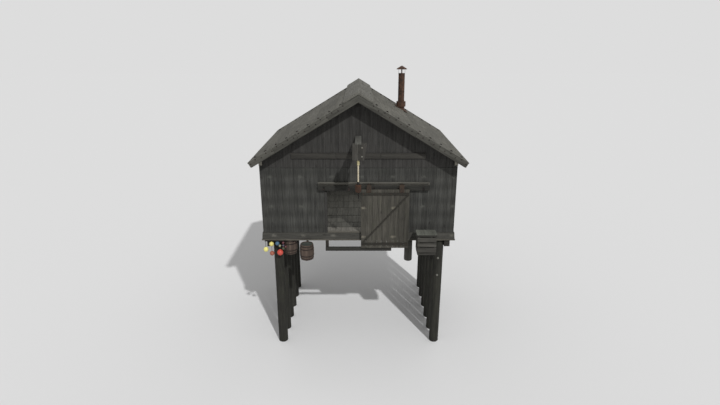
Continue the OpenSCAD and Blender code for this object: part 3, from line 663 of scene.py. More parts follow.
def wall_places(boards, u0, u1, z0, z1, matrix):
    """Boards with narrow gaps between them, in front of the wall's inner lining."""
    places = [fitted((u0, BOARD_T + 0.002, z0), (u1, WALL_T, z1), 0.0, matrix)]
    for left, right, face, tone in boards:
        left, right = max(left, u0), min(right, u1)
        if right - left > 0.03:
            places.append(fitted((left + BOARD_GAP, face, z0),
                                 (right - BOARD_GAP, face + BOARD_T, z1), tone, matrix))
    return places


def wall_nails(u0, u1, z0, matrix):
    """Two nail heads in each board along each rail that is above z0."""
    places = []
    for z in (rail for rail in RAIL_ZS if rail > z0):
        for u in np.arange(u0 + BOARD_W / 2, u1, BOARD_W):
            for side in (-0.045, 0.045):
                u_nail = u + side + ROLLS.uniform(-0.01, 0.01)
                z_nail = z + ROLLS.uniform(-0.015, 0.015)
                if u0 < u_nail < u1:
                    places.append(facing_front(u_nail, 0, z_nail, matrix=matrix))
    return places


def build_walls():
    """Each wall is laid as seen from outside, from left to right, and goes to its place by a
    matrix."""
    front, back = moved(0, FRONT_Y, 0), moved(0, BACK_Y, 0) @ turned_by(180)
    right, left = (moved(side * HALF_W, 0, 0) @ turned_by(side * 90) for side in (1, -1))
    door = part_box("front_wall_over_door")
    split_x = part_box("front_gable")[1].x
    depth = (BACK_Y - FRONT_Y) / 2 - WALL_T
    middle = (BACK_Y + FRONT_Y) / 2
    end_walls = [
        ("front_wall_left", front, -HALF_W, door[0].x, DECK_Z, SPLIT_Z),
        ("front_wall_right", front, door[1].x, HALF_W, DECK_Z, SPLIT_Z),
        ("front_wall_over_door", front, door[0].x, door[1].x, door[0].z, SPLIT_Z),
        ("front_gable", front, -split_x, split_x, SPLIT_Z, under_z(0)),
        ("back_wall", back, -HALF_W, HALF_W, DECK_Z, SPLIT_Z),
        ("back_gable", back, -split_x, split_x, SPLIT_Z, under_z(0)),
    ]
    side_walls = [
        (name, matrix @ moved(shift, 0, 0), -depth, depth, DECK_Z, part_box(name)[1].z)
        for name, matrix, shift in (("left_wall", left, -middle), ("right_wall", right, middle))
    ]
    boards = laid_boards(HALF_W)
    for name, matrix, u0, u1, z0, z1 in end_walls + side_walls:
        is_end, is_wall = matrix in (front, back), "gable" not in name
        if not is_end:
            boards = laid_boards(depth)
        if is_wall:
            top = CLADDING_Z if is_end else z1
            laid(f"{name}_boards", BOARD, wall_places(boards, u0, u1, z0, top, matrix),
                 WALL_WOOD, "wall_wood", [name], warp=0.001)
            laid(f"{name}_nails", NAIL, wall_nails(u0, u1, z0, matrix), NAIL_IRON, "dark_iron")
        if is_end:
            places = wall_places(boards, u0, u1, max(z0, CLADDING_Z), z1, matrix)
            upper = copies(f"{name}_cladding", BOARD, places, 0.001)
            for side in (-1, 1):
                cut(upper, (0, 0, under_z(0)), (side * math.sin(PITCH), 0, math.cos(PITCH)))
            finished(upper, GABLE_WOOD, "wall_wood", [name])
    laid("cladding_drips", THIN_BOARD, [
        fitted((-HALF_W, -0.012, CLADDING_Z - 0.022), (HALF_W, 0.004, CLADDING_Z), 0.0, matrix)
        for matrix in (front, back)], WALL_WOOD, "wall_wood")
    for k, (low, high) in enumerate(solids("gable_ledgers")):
        laid(f"gable_ledger_{k}", TIMBER, [
            fitted((a + 0.003, low[1], low[2]), (b - 0.003, high[1], high[2]))
            for a, b in pairs(np.linspace(low[0], high[0], 4))],
            LEDGER_WOOD, "wall_wood", ["gable_ledgers"])


# ---------- Roof ----------

def build_slope(side, name):
    """One slope of the roof. y runs from front to back here on either side."""
    slope = slope_matrix(side)

    def spanning(s0, s1, y0, y1, t0, t1, at=slope):
        if side < 0:
            y0, y1 = -y1, -y0
        return fitted((s0, y0, t0), (s1, y1, t1), matrix=at)

    def laid_to_ridge(kind, blank, places, material, slot, node_kind, warp=0.0):
        piece = copies(f"{kind}_{name}", blank, places, warp)
        cut(piece, (0, 0, 0), (-side, 0, 0))
        finished(piece, material, slot, [f"{node_kind}_{name}"])

    # Each course rises towards its foot, which lies on the head of the one below.
    lean = Matrix.Identity(4)
    lean[2][0] = LAP_T / COURSE
    inside = ROOF_FRONT + BARGE_T, ROOF_BACK - BARGE_T
    boards = []
    for i in range(1, COURSES + 1):
        foot = i * COURSE - (ROLLS.uniform(0, 0.012) if i < COURSES else 0.0005)
        joints = sorted(ROLLS.choice(COURSE_JOINTS, 2, False))
        for y0, y1 in pairs([inside[0], *joints, inside[1]]):
            lift = ROLLS.uniform(-0.003, 0.0)
            boards.append(spanning(
                -COURSE - (0.07 if i > 1 else 0.0), 0, y0 + 0.002, y1 - 0.002,
                COVER_T + lift, ROOF_T + lift, slope @ moved(foot, 0, 0) @ lean))
    laid_to_ridge("roof_boards", BOARD, boards, ROOF_WOOD, "roof_wood", "roof", 0.0015)
    laid(f"roof_sheathing_{name}", THIN_BOARD, [
        spanning(0.0, SLOPE_LEN - 0.03, a + 0.002, b - 0.002, 0.0, 0.009)
        for a, b in pairs(np.arange(inside[0], inside[1] + 0.01, 0.3))],
        SLOPE_WOODS[side], "frame_wood")

    barges = []
    for y in (ROOF_FRONT, inside[1]):
        joints = [1.3 + 0.2 * tint(), 2.6 + 0.2 * tint(), 3.8 + 0.2 * tint()]
        for a, b in pairs([-0.3, *joints, SLOPE_LEN - 0.016]):
            barges.append(spanning(a, b - 0.004, y + VERGE_NAIL_H, y + BARGE_T - VERGE_NAIL_H,
                                   -BARGE_DROP, ROOF_T - 0.004))
    laid_to_ridge("barge_lengths", TIMBER, barges, SLOPE_WOODS[side * 2], "roof_wood",
                  "barge_boards")

    low, high = (corner.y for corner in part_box("ridge_cap_right"))
    caps = [spanning(-0.3, CAP_COVER, a + 0.003, b - 0.003, ROOF_T, ROOF_T + CAP_T)
            for a, b in pairs(np.linspace(low, high, 4))]
    laid_to_ridge("ridge_cap_boards", TIMBER, caps, CAP_WOOD, "cap_wood", "ridge_cap")

    rafter_ys = sorted({round(float((a[1] + b[1]) / 2), 3) for a, b in solids("rafters_right")})
    rows = [(y, 0.7) for y in rafter_ys]
    rows += [(y, 2.8) for y in (ROOF_FRONT + VERGE_BOLT_IN, ROOF_BACK - VERGE_BOLT_IN)]
    bolts, pins = [], []
    for i in range(2, COURSES + 1):
        bolts += [((i - 0.45) * COURSE, y, ROOF_T - 0.45 * LAP_T - 0.002, size)
                  for y, size in rows]
        for y, turn in ((ROOF_FRONT + VERGE_NAIL_H, 90), (ROOF_BACK - VERGE_NAIL_H, -90)):
            for up_slope, t in ((0.7, 0.035), (0.2, -0.02)):
                pins.append(set_at(
                    slope @ moved((i - up_slope) * COURSE, side * y, t)
                    @ turned_by(side * turn, "X") @ Matrix.Diagonal((3.0, 3.0, 1.2, 1.0))))
    bolts += [(s, y, ROOF_T + CAP_T - 0.001, 0.8) for y in np.linspace(low + 0.2, high - 0.2, 7)
              for s in (0.15, CAP_COVER - 0.12)]
    laid(f"roof_bolts_{name}", BOLT, [
        set_at(slope @ moved(s, side * y, t) @ Matrix.Scale(size, 4)) for s, y, t, size in bolts],
        DARK_IRON, "dark_iron")
    laid(f"verge_nails_{name}", NAIL, pins, DARK_IRON, "dark_iron")


def build_roof():
    build_slope(-1, "left")
    build_slope(1, "right")
    finish_node(SLOPE_WOODS[1], "rafters_right")
    finish_node(SLOPE_WOODS[-1], "rafters_left")
    finish_node(FRAME_WOOD_Y, "ridge_beam", "wall_plates")
    # Thin pale caps on the plates' ends: painted sunlight, as the ends lie in the eaves' shade.
    laid("plate_ends_painted_sunlit", THIN_BOARD, [
        fitted((low[0] + 0.01, y0, low[2] + 0.01), (high[0] - 0.01, y1, high[2] - 0.01))
        for low, high in solids("wall_plates")
        for y0, y1 in ((low[1] - 0.006, low[1]), (high[1], high[1] + 0.006))],
        PLATE_END_PAINTED_SUN_WOOD, "frame_wood")


# ---------- Base ----------

def log(name, radius, height, seed):
    """A debarked log: a turned pole with uneven rings and a few flat hewn faces."""
    steps, full = 12, radius * 0.985
    rings = [(0, radius * 0.9), (0.02, full)]
    rings += [(height * i / steps, full) for i in range(1, steps)]
    rings += [(height - 0.02, full), (height, radius * 0.93)]
    pole = turned(name, rings, 28)
    points = corner_points(pole)
    for p in points:
        flow = noise.noise(Vector((p[0] * 2.2 + seed * 9, p[1] * 2.2, p[2] * 0.35)))
        ripple = noise.noise(Vector((p[0] * 9 + seed * 5, p[1] * 9, p[2] * 0.8)))
        p[:2] *= 1 + min(0.012, 0.05 * flow + 0.03 * ripple)
    reshape(pole, points)
    return pole


def set_piles():
    """Two rows of piles, hewn flat where the side beams lie against them. Gives the x of the
    right row and the y of the rows' front."""
    left, right = solids("piles_left"), solids("piles_right")
    low, high = left[0]
    radius, height, front = (high[1] - low[1]) / 2, high[2] - low[2], low[1]
    pile_x = right[-1][1][0] - radius
    beam_low = solids("side_beams")[1][0]
    logs = [log(f"log_{k}", radius, height, k) for k in range(3)]
    for name, x, boxes in (("left", -pile_x, left), ("right", pile_x, right)):
        piles = []
        for i, (low, high) in enumerate(boxes):
            at = moved(x, (low[1] + high[1]) / 2, 0) @ turned_by(ROLLS.uniform(0, 360))
            piles.append(copies(f"pile_{name}_{i}", logs[i % 3], [set_at(at, tint())]))
        row = joined(f"pile_row_{name}", piles)
        points = corner_points(row)
        top = points[:, 2] > beam_low[2] - 0.01
        points[top, 0] = np.clip(points[top, 0], -beam_low[0], beam_low[0])
        reshape(row, points)
        finished(row, PILE_WOOD, "pile_wood", [f"piles_{name}"], smooth=40)
    remove(*logs)
    return pile_x, front


def lay_deck():
    """Floor boards with open joints, over a closed layer of planks."""
    rows = list(pairs(np.linspace(-HALF_W, HALF_W, 33)))
    lower = [fitted((a, FRONT_Y, DECK_Z - 0.06), (b, BACK_Y, DECK_Z - 0.031)) for a, b in rows]
    # Boards in front of that y are paler: a painted patch of sunlight on the floor inside the
    # doorway.
    worn, upper = [], []
    for x0, x1 in rows:
        for y0, y1 in pairs([FRONT_Y - 0.02, *DECK_JOINTS, BACK_Y + 0.02]):
            boards = worn if y1 < PAINTED_SUNLIT_DECK_Y else upper
            boards.append(fitted((x0 + 0.003, y0 + 0.02, DECK_Z - 0.03),
                                 (x1 - 0.003, y1 - 0.02, DECK_Z - ROLLS.uniform(0, 0.003))))
    laid("deck_planks_below", BOARD, lower, FRAME_WOOD_Y, "deck_wood")
    laid("floor_boards", BOARD, upper, DECK_WOOD, "deck_wood", ["floor_deck"])
    laid("painted_sunlit_floor_boards", BOARD, worn, PAINTED_SUNLIT_DECK_WOOD, "deck_wood")


def cover_skirts():
    """A strip along the foot of each skirt, in three lengths."""
    finish_node(SKIRT_WOOD_X, "end_skirts")
    finish_node(SKIRT_WOOD_Y, "side_skirts")
    low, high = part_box("end_skirts")
    half_y, middle = (high.y - low.y) / 2, (high.y + low.y) / 2
    # Each side's turn, the y of its middle, half its length and how far out its face stands
    runs = {
        "x": [(0, 0, high.x, -low.y), (180, 0, high.x, high.y)],
        "y": [(90, middle, half_y, high.x), (-90, middle, half_y, high.x)],
    }
    for name, sides in runs.items():
        laid(f"skirt_strips_{name}", BOARD, [
            fitted((a + 0.002, -face - 0.014, low.z),
                   (b - 0.002, -face + 0.004, low.z + SKIRT_STRIP_H),
                   matrix=moved(0, y, 0) @ turned_by(turn))
            for turn, y, reach, face in sides
            for a, b in pairs(np.linspace(-reach - 0.012, reach + 0.012, 4))],
            STRIP_WOOD, "skirt_wood")


def build_base():
    pile_x, pile_front = set_piles()
    timbers("side_beam_timbers", ["side_beams"], FRAME_WOOD_Y, "frame_wood")
    timbers("joist_timbers", ["floor_joists"], FRAME_WOOD_X, "frame_wood")
    lay_deck()
    cover_skirts()
    laid("pile_bolts", BOLT, [
        facing_front(pile_x - 0.03, pile_front - 0.002, z, 2.4) for z in PILE_BOLT_ZS],
        PALE_IRON, "dark_iron")


# ---------- Doorway, track and door ----------

def build_doorway():
    timbers("door_frame_timbers", ["door_jambs", "door_head"], GABLE_WOOD, "frame_dark")
    timbers("door_sill_board", ["door_sill"], STRIP_WOOD, "deck_wood")
    timbers("track_timber", ["door_track"], DARK_WOOD_X, "frame_dark")
    track_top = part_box("door_track")[1].z
    low, high = solids("track_cover")[0]
    cover = [fitted((low[0], low[1] + COVER_SETBACK, low[2]), high, 0.2)]
    # Pale backing boards against the wall under the cover: their paleness is painted light, as
    # they lie in the cover's shade.
    cover += [fitted((a, high[1] - 0.035, track_top), (b, high[1], low[2]))
              for a, b in pairs([low[0], (low[0] + high[0]) / 2, high[0]])]
    laid("track_cover_with_painted_light_backing", BOARD, cover, COVER_WOOD_AND_PAINTED_LIGHT, "cap_wood", ["track_cover"])
    timbers("guide_rail_timber", ["guide_rail"], DARK_WOOD_X, "frame_dark")
    timbers("guide_hanger_timbers", ["guide_hangers"], DARK_WOOD_Z, "frame_dark")
    low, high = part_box("door_track")
    irons = [fitted((low.x + 0.03, low.y + 0.008, high.z - 0.012),
                    (high.x - 0.03, low.y + 0.04, high.z - 0.0005), 0.0)]
    for x in np.linspace(low.x + 0.25, high.x - 0.25, 5):
        x0, x1, front = x - 0.04, x + 0.04, low.y - 0.006
        irons += [fitted((x0, front, low.z - 0.006), (x1, high.y - 0.001, low.z), 0.0),
                  fitted((x0, front, low.z), (x1, low.y, high.z - 0.03), 0.0)]
    laid("track_irons", THIN_BOARD, irons, DARK_IRON, "dark_iron")


def build_door():
    low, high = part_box("door_leaf")
    edges = np.linspace(low.x, high.x, 10)
    edges[1:-1] += ROLLS.uniform(-0.02, 0.02, 8)
    laid("door_boards", BOARD, [
        fitted((a + 0.002, low.y + ROLLS.uniform(0, 0.004), low.z),
               (b - 0.002, high.y, high.z - ROLLS.uniform(0, 0.006)))
        for a, b in pairs(edges)], LEAF_WOOD, "leaf_wood", ["door_leaf"], "door")
    timbers("door_bar_timbers", ["door_bars"], BAR_WOOD, "bar_wood", "door", BOARD)
    finish_node(BAR_WOOD, "door_brace")
    bolts = [facing_front((a + b) / 2, low[1], (low[2] + high[2]) / 2, 0.8)
             for low, high in solids("door_bars") for a, b in pairs(edges)]
    bolts += [facing_front((low[0] + high[0]) / 2, low[1], low[2] + up, 1.2)
              for low, high in solids("door_hangers") for up in (0.03, 0.16)]
    laid("door_bolts", BOLT, bolts, NAIL_IRON, "dark_iron", (), "door")
    finish_node(RUSTY_IRON, "door_hangers")
    wheel = turned("wheel", mirrored([
        (-0.013, 0.018), (-0.013, 0.034), (-0.009, 0.036), (-0.009, 0.043), (-0.013, 0.045),
        (-0.013, 0.048), (-0.010, 0.05)]), 40)
    wheels = [facing_front(*((low + high) / 2)) for low, high in solids("door_rollers")]
    laid("door_roller_wheels", wheel, wheels, RUSTY_IRON, "rusty_iron", ["door_rollers"], "door")
    remove(wheel)


# ---------- Hoist ----------

def hoist_rope():
    """Three strands laid right-handed, drawn along the rope's route."""
    deselect()
    bpy.ops.mesh.primitive_circle_add(vertices=36, radius=ROPE_D / 2, fill_type="NOTHING")
    rope = bpy.context.object
    rope.name = "hoist_rope_strands"
    points = corner_points(rope)
    around = np.arctan2(points[:, 1], points[:, 0])
    lobe = np.abs(np.cos(1.5 * around))
    points[:, :2] *= (0.80 + 0.20 * np.sqrt(lobe))[:, None]
    reshape(rope, points)
    groove = rope.data.attributes.new("groove", "FLOAT", "POINT")
    groove.data.foreach_set("value", (1 - np.clip(lobe * 1.6, 0, 1)).astype(np.float32))
    steps = 120
    modify(rope, "SCREW", axis="Z", angle=2 * math.pi * ROPE_LEN / STRAND_LAY,
           screw_offset=-ROPE_LEN, steps=steps, render_steps=steps, use_smooth_shade=True)

    def close_ends():
        bpy.ops.mesh.select_all(action="DESELECT")
        bpy.ops.mesh.select_non_manifold()
        bpy.ops.mesh.edge_face_add()
        face_out()

    in_edit_mode(rope, close_ends)
    rope.location = (ROPE_X, ROPE_Y, ROPE_TOP)
    apply_place(rope)
    return finished(rope, ROPE_FIBRE, "rope", ["hoist_rope"], smooth=60)


def build_hoist():
    low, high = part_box("hoist_beam")
    size, face = high.x - low.x, low.y
    top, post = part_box("hoist_block")[1].z - 0.02, 0.06
    laid("hoist_beam_timber", TIMBER, [
        fitted((low.x, low.y, top - size), (high.x, high.y, top), 0.3),
        fitted((-post, high.y - 2 * post, top), (post, high.y, high.z), -0.2)],
        HOIST_WOOD_Y, "hoist_wood", ["hoist_beam"])

    low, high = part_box("hoist_block")
    inner, side, front = size / 2, -low.x, low.y + 0.02
    cheeks = [fitted((x0, face, low.z), (x1, high.y, high.z))
              for x0, x1 in ((-side, -inner - 0.001), (inner + 0.001, side))]
    fronts = [fitted((x0, front, low.z), (x1, face - 0.001, high.z), tone) for x0, x1, tone in (
        (-side, -0.042, 1.2), (-0.038, -0.014, 5.0), (-0.01, side, -0.3))]
    block = copies("hoist_block_timbers", TIMBER, cheeks + fronts)
    points = corner_points(block)
    lean = np.clip((points[:, 0] - inner) / (side - inner), 0, 1) * (high.x - side)
    points[:, 0] += lean * (points[:, 2] - low.z) / (high.z - low.z)
    reshape(block, points)
    finished(block, BLOCK_WOOD, "hoist_wood", ["hoist_block"])
    laid("hoist_bolts", BOLT, [
        facing_front(HOIST_BOLT_X, front + 0.005, z, 1.7) for z in HOIST_BOLT_ZS],
        PALE_IRON, "dark_iron")
    sheave_low, sheave_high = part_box("hoist_sheave")
    axle = (sheave_low + sheave_high) / 2
    laid("hoist_cheek_pins", BOLT, [
        set_at(moved(0.001 - side, axle.y, z) @ turned_by(-90, "Y") @ Matrix.Scale(2, 4))
        for z in (axle.z, high.z - 0.12)], DARK_IRON, "dark_iron")
    wheel = turned("wheel", mirrored([
        (-0.045, 0.03), (-0.045, 0.09), (-0.042, 0.1), (-0.03, 0.1), (-0.02, 0.083),
        (-0.007, 0.073)]) + [(0.06, 0.028), (0.06, 0.02), (0.12, 0.02)], 48)
    pin = turned("pin", [(-0.12, 0.02), (-0.06, 0.02), (-0.06, 0.028), (-0.045, 0.03)], 48)
    wheel = joined("hoist_sheave_wheel", [wheel, pin])
    wheel.data.transform(moved(*axle) @ turned_by(90, "Y"))
    finished(wheel, DARK_IRON, "dark_iron", ["hoist_sheave"])

    rope = hoist_rope()
    beside_rope = moved(ROPE_X, ROPE_Y, 0)
    radii = [0.028, 0.04] + [0.05, 0.044] * 6 + [0.042, 0.028]
    seizing = turned("rope_seizing", [
        (ROPE_TOP - 0.37 + 0.0145 * i, r) for i, r in enumerate(radii)], 20, beside_rope)
    finished(seizing, ROPE_TWINE, "rope", smooth=20)
    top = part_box("hook_weight")[1].z
    socket = turned("rope_socket", [
        (top - 0.004, 0.055), (top + 0.03, 0.052), (top + 0.05, 0.04), (top + 0.1, 0.034),
        (top + 0.105, 0.03)], 24, beside_rope)
    finished(socket, DARK_IRON, "dark_iron")
    finish_node(WEIGHT_IRON, "hook_weight")
    finish_node(DARK_IRON, "hoist_hook")


# ---------- Stove pipe ----------

def build_pipe():
    """A pipe in four sections, swaged at their ends, with rivets, a collar and a hat."""
    low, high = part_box("stove_pipe")
    centre = (low + high) / 2
    upright = moved(centre.x, centre.y, 0)
    r = (high.x - low.x) / 2
    roof = RIDGE_Z + ROOF_T / math.cos(PITCH) - centre.x * math.tan(PITCH)
    section = (high.z - roof) / 4
    rings = [(low.z, r * 0.94), (low.z, r)]
    for i in range(1, 5):
        top = roof + i * section
        rings += [(top - 0.05, r - 0.004), (top - 0.045, r), (top - 0.03, r),
                  (top - 0.025, r - 0.005), (top - 0.015, r - 0.005), (top - 0.01, r)]
        if i < 4:
            rings += [(top, r), (top + 0.002, r - 0.005)]
    rings += [(high.z, r), (high.z, r - 0.008), (high.z - 0.9, r - 0.008)]
    pipe = turned("stove_pipe_sections", rings, 40, upright)
    finished(pipe, PIPE_RUST, "pipe_rust", ["stove_pipe"])

    rivets = [set_at(moved(centre.x, centre.y, roof + i * section + 0.05)
                     @ turned_by(30 * k + 15 * i) @ moved(r - 0.006, 0, 0) @ turned_by(90, "Y"))
              for i in range(1, 4) for k in range(12)]
    down_slope = (centre.x - ROOF_T * math.sin(PITCH)) / math.cos(PITCH)
    for edge in (-0.31, 0.31):
        for k in range(5):
            along = -0.3 + 0.15 * k
            rivets += [set_at(slope_matrix(1) @ moved(down_slope + a, centre.y + b, ROOF_T + 0.011)
                              @ Matrix.Scale(1.6, 4)) for a, b in ((edge, along), (along, edge))]
    laid("pipe_rivets", NAIL, rivets, PIPE_RUST, "pipe_rust")
    finish_node(PIPE_RUST, "pipe_collar")

    hat_low, hat_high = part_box("pipe_hat")
    reach, rim = (hat_high.x - hat_low.x) / 2, hat_high.z - 0.17
    hat = turned("pipe_hat_cone", [
        (rim + 0.14, 0.012), (rim + 0.035, reach * 0.8), (rim + 0.004, reach - 0.012),
        (rim, reach - 0.006), (rim, reach), (rim + 0.014, reach), (rim + 0.02, reach - 0.008),
        (rim + 0.055, reach * 0.8), (rim + 0.115, reach * 0.4), (rim + 0.15, 0.05),
        (rim + 0.157, 0.022), (rim + 0.17, 0.02)], 40, upright)
    lugs = copies("lugs", THIN_BOARD, [
        fitted((r - 0.008, -0.015, high.z - 0.06), (r, 0.015, rim + 0.03), 0.0,
               upright @ turned_by(90 * k)) for k in range(4)])
    hat = joined("pipe_hat_cone", [hat, lugs])
    finished(hat, PIPE_RUST, "pipe_rust", ["pipe_hat"])


# ---------- Gear on the front sill ----------

def keg_radius(z, height, belly):
    """Half the keg's width at a height. Its side is an arc of a circle."""
    bulge = (belly - KEG_HEAD_D) / 2
    arc = ((height / 2) ** 2 + bulge ** 2) / (2 * bulge)
    return belly / 2 - arc + math.sqrt(arc * arc - (z - height / 2) ** 2)


def make_staves(height, belly):
    """Flat staves laid side by side along x, then bent round into the bulged shell."""
    deselect()
    bpy.ops.mesh.primitive_cube_add(size=1)
    stave = bpy.context.object
    stave.data.transform(moved(0, 0.5, 0.5))
    stave.data.transform(Matrix.Diagonal((0.97, 0.024, height, 1)))
    steps = 10

    def divide():
        for i in range(1, steps):
            bpy.ops.mesh.select_all(action="SELECT")
            bpy.ops.mesh.bisect(plane_co=(0, 0, height * i / steps), plane_no=(0, 0, 1))

    in_edit_mode(stave, divide)
    shell = copies("staves", stave, [set_at(moved(i, 0, 0), tint()) for i in range(KEG_STAVES)])
    remove(stave)
    points = corner_points(shell)
    for p in points:
        out = keg_radius(p[2], height, belly) - p[1]
        turn = 2 * math.pi * p[0] / KEG_STAVES
        p[:2] = out * math.cos(turn), out * math.sin(turn)
    reshape(shell, points)
    in_edit_mode(shell, face_out)
    return shell


def make_heads(height):
    """A boarded head near each end of the keg."""
    rim, thick, r = 0.03, 0.02, KEG_HEAD_D / 2
    boards = []
    for z in (rim, height - rim - thick):
        for a, b in pairs(np.linspace(-r, r, 6)):
            disc = turned("head_board", [(z, r - 0.022), (z + thick, r - 0.022)], 40)
            cut(disc, (a + 0.002, 0, 0), (-1, 0, 0))
            cut(disc, (b - 0.002, 0, 0), (1, 0, 0))
            boards.append(copies("head_board", disc, [set_at(Matrix(), tint())]))
            remove(disc)
    return joined("keg_heads", boards)


def make_hoops(height, belly):
    hoops = []
    for share in HOOP_FEET:
        z = share * height
        a, b = (keg_radius(end, height, belly) for end in (z, z + HOOP_H))
        hoops.append(turned("hoop", [
            (z, a - 0.01), (z, a + 0.004), (z + HOOP_H / 2, (a + b) / 2 + 0.005),
            (z + HOOP_H, b + 0.004), (z + HOOP_H, b - 0.01)], 40))
    return joined("keg_hoops", hoops)


def build_kegs():
    boxes = solids("kegs")
    low, high = boxes[0]
    height, belly = high[2] - low[2], high[0] - low[0]
    parts = {
        "staves": (make_staves(height, belly), KEG_WOOD, "keg_wood", ["kegs"]),
        "heads": (make_heads(height), KEG_HEAD_WOOD, "keg_wood", []),
        "hoops": (make_hoops(height, belly), HOOP_IRON, "rusty_iron", []),
    }
    for name, turn, (low, high) in zip(("keg_left", "keg_right"), (25, 95), boxes):
        at = moved((low[0] + high[0]) / 2, (low[1] + high[1]) / 2, low[2]) @ turned_by(turn)
        for part, (source, *finish) in parts.items():
            piece = source.copy()
            piece.data = source.data.copy()
            piece.name = f"{name}_{part}"
            bpy.context.scene.collection.objects.link(piece)
            piece.data.transform(at)
            finished(piece, *finish)
    remove(*(source for source, *_ in parts.values()))


def build_crate():
    """Rows of boards round four corner posts and a bottom, under a lid with a batten."""
    low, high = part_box("crate")
    lid, thick, inner, post = 0.06, 0.024, 0.048, 0.06
    height = high.z - low.z - lid
    boards = []
    for foot, top, inset, tone in CRATE_ROWS:
        inset += ROLLS.uniform(0, 0.003)
        x0, x1, y0, y1 = low.x + inset, high.x - inset, low.y + inset, high.y - inset
        z0, z1 = low.z + foot * height, low.z + top * height
        for a, b in (((x0, y0), (x1, y0 + thick)), ((x0, y1 - thick), (x1, y1)),
                     ((x0, y0 + thick), (x0 + thick, y1 - thick)),
                     ((x1 - thick, y0 + thick), (x1, y1 - thick))):
            boards.append(fitted((*a, z0), (*b, z1), tone + tint(0.2)))
    boards += [fitted((x, y, low.z), (x + post, y + post, high.z - lid), 0.0)
               for x in (low.x + inner, high.x - inner - post)
               for y in (low.y + inner + 0.002, high.y - inner - post - 0.002)]
    boards.append(fitted((low.x + inner, low.y + inner, low.z),
                         (high.x - inner, high.y - inner, low.z + 0.03), 0.0))
    laid("crate_boards", BOARD, boards, CRATE_WOOD, "crate_wood", ["crate"], warp=0.001)

    batten_y = low.y + 0.04
    tops = [fitted((a + 0.002, batten_y, high.z - 0.028),
                   (b - 0.002, high.y, high.z - ROLLS.uniform(0, 0.003)))
            for a, b in pairs(np.linspace(low.x, high.x, 6))]
    tops += [fitted((x0, batten_y, high.z - lid), (x1, high.y - 0.003, high.z - 0.029), -0.4)
             for x0, x1 in ((low.x, low.x + 0.07), (high.x - 0.07, high.x))]
    laid("crate_lid", BOARD, tops, CRATE_LID_WOOD, "crate_wood")
    # A dark batten along the lid's front: painted shade on a lid edge that faces the sun.
    laid("crate_lid_batten_painted_shade", TIMBER, [
        fitted((low.x, low.y, high.z - lid), (high.x, batten_y - 0.002, high.z - 0.002), 0.0)],
        CRATE_BATTEN_PAINTED_SHADE_WOOD, "crate_wood")


def build_floats():
    """Net floats with a seam round the middle and a collar at each eye, on their strings."""
    ball = [(-0.54, 0.06), (-0.5, 0.09)]
    for k in range(1, 16):
        turn = math.radians(-90 + 180 * k / 16)
        r = 0.5 * math.cos(turn)
        if r > 0.1:
            ball.append((0.5 * math.sin(turn), r))
    middle = len(ball) // 2
    ball[middle:middle + 1] = [(-0.02, 0.495), (-0.012, 0.5), (0.012, 0.5), (0.02, 0.495)]
    ball += [(0.5, 0.09), (0.54, 0.06)]
    blank = turned("float", ball)
    strings = {}
    for low, high in solids("net_floats"):
        strings.setdefault(round((low[0] + high[0]) / 2, 1), []).append((low, high))
    made = []
    for paints, (_, boxes) in zip(FLOAT_PAINTS, sorted(strings.items())):
        for paint, (low, high) in zip(paints, sorted(boxes, key=lambda box: box[0][2])):
            at = moved(*((low + high) / 2)) @ Matrix.Scale(high[0] - low[0], 4)
            piece = copies("float", blank, [set_at(at)])
            own = piece.data.attributes.new("paint", "FLOAT_COLOR", "POINT")
            own.data.foreach_set("color", np.tile(colour(paint), len(piece.data.vertices)))
            made.append(piece)
    remove(blank)
    finished(joined("painted_net_floats", made), FLOAT_PAINT, "float_paint", ["net_floats"],
             smooth=40)
    finish_node(DARK_IRON, "float_rack", "gear_brackets")


def build_fender():
    low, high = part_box("fender_post")
    blank = log("fender_log", (high.x - low.x) / 2, high.z - low.z, 7)
    at = moved((low.x + high.x) / 2, (low.y + high.y) / 2, low.z)
    post = copies("fender_log_hewn", blank, [set_at(at, 0.5)])
    remove(blank)
    finished(post, FENDER_WOOD, "pile_wood", ["fender_post"], smooth=40)


# ---------- Run ----------

set_camera()
set_light()
set_floor()

WEATHERED_WOOD = make_weathered_wood()
RUSTED_IRON = make_rusted_iron()
WALL_WOOD = wood("Wall boards", "z", (39, 39, 37), (69, 69, 66), (94, 95, 89), 0.5, 0.04,
                 bands=0.13)
GABLE_WOOD = wood("Gable boards", "z", (40, 39, 37), (64, 63, 61), share=0.1, bands=0.04)
LEDGER_WOOD = wood("Ledger boards", "x", (40, 39, 36), (62, 60, 56), moss=0.03)
ROOF_WOOD = wood("Roof boards", "y", (70, 69, 63), (102, 100, 93), moss=0.12)
CAP_WOOD = wood("Ridge cap boards", "y", (81, 79, 74), (114, 113, 106))
# Pale wood of the cover; on its backing, in the cover's shade, the paleness is painted light.
COVER_WOOD_AND_PAINTED_LIGHT = wood("Track cover, backing painted light", "x", (78, 76, 70), (112, 110, 103))
DECK_WOOD = wood("Floor boards", "y", (54, 53, 49), (80, 79, 73))
# Paler boards for the front strip of the floor: painted sunlight.
PAINTED_SUNLIT_DECK_WOOD = wood("Floor boards painted sunlit", "y", (76, 74, 69), (112, 109, 102))
SKIRT_WOOD_X = wood("End skirts", "x", (44, 43, 40), (76, 75, 70), (112, 110, 102), 0.6)
SKIRT_WOOD_Y = wood("Side skirts", "y", (50, 49, 44), (82, 80, 73), moss=0.25)
# Pale plate ends: painted sunlight on ends that lie in the eaves' shade.
PLATE_END_PAINTED_SUN_WOOD = wood("Plate ends painted sunlit", "y", (104, 101, 92), (150, 147, 137))
STRIP_WOOD = wood("Drip strips", "x", (66, 63, 57), (97, 94, 86))
DARK_WOOD_X = wood("Tarred rails", "x", (28, 28, 25), (55, 54, 50))
DARK_WOOD_Z = wood("Tarred posts", "z", (30, 28, 25), (58, 54, 49))
FRAME_WOOD_X = wood("Joists", "x", (35, 34, 32), (60, 58, 54))
FRAME_WOOD_Y = wood("Beams", "y", (35, 34, 32), (60, 58, 54))
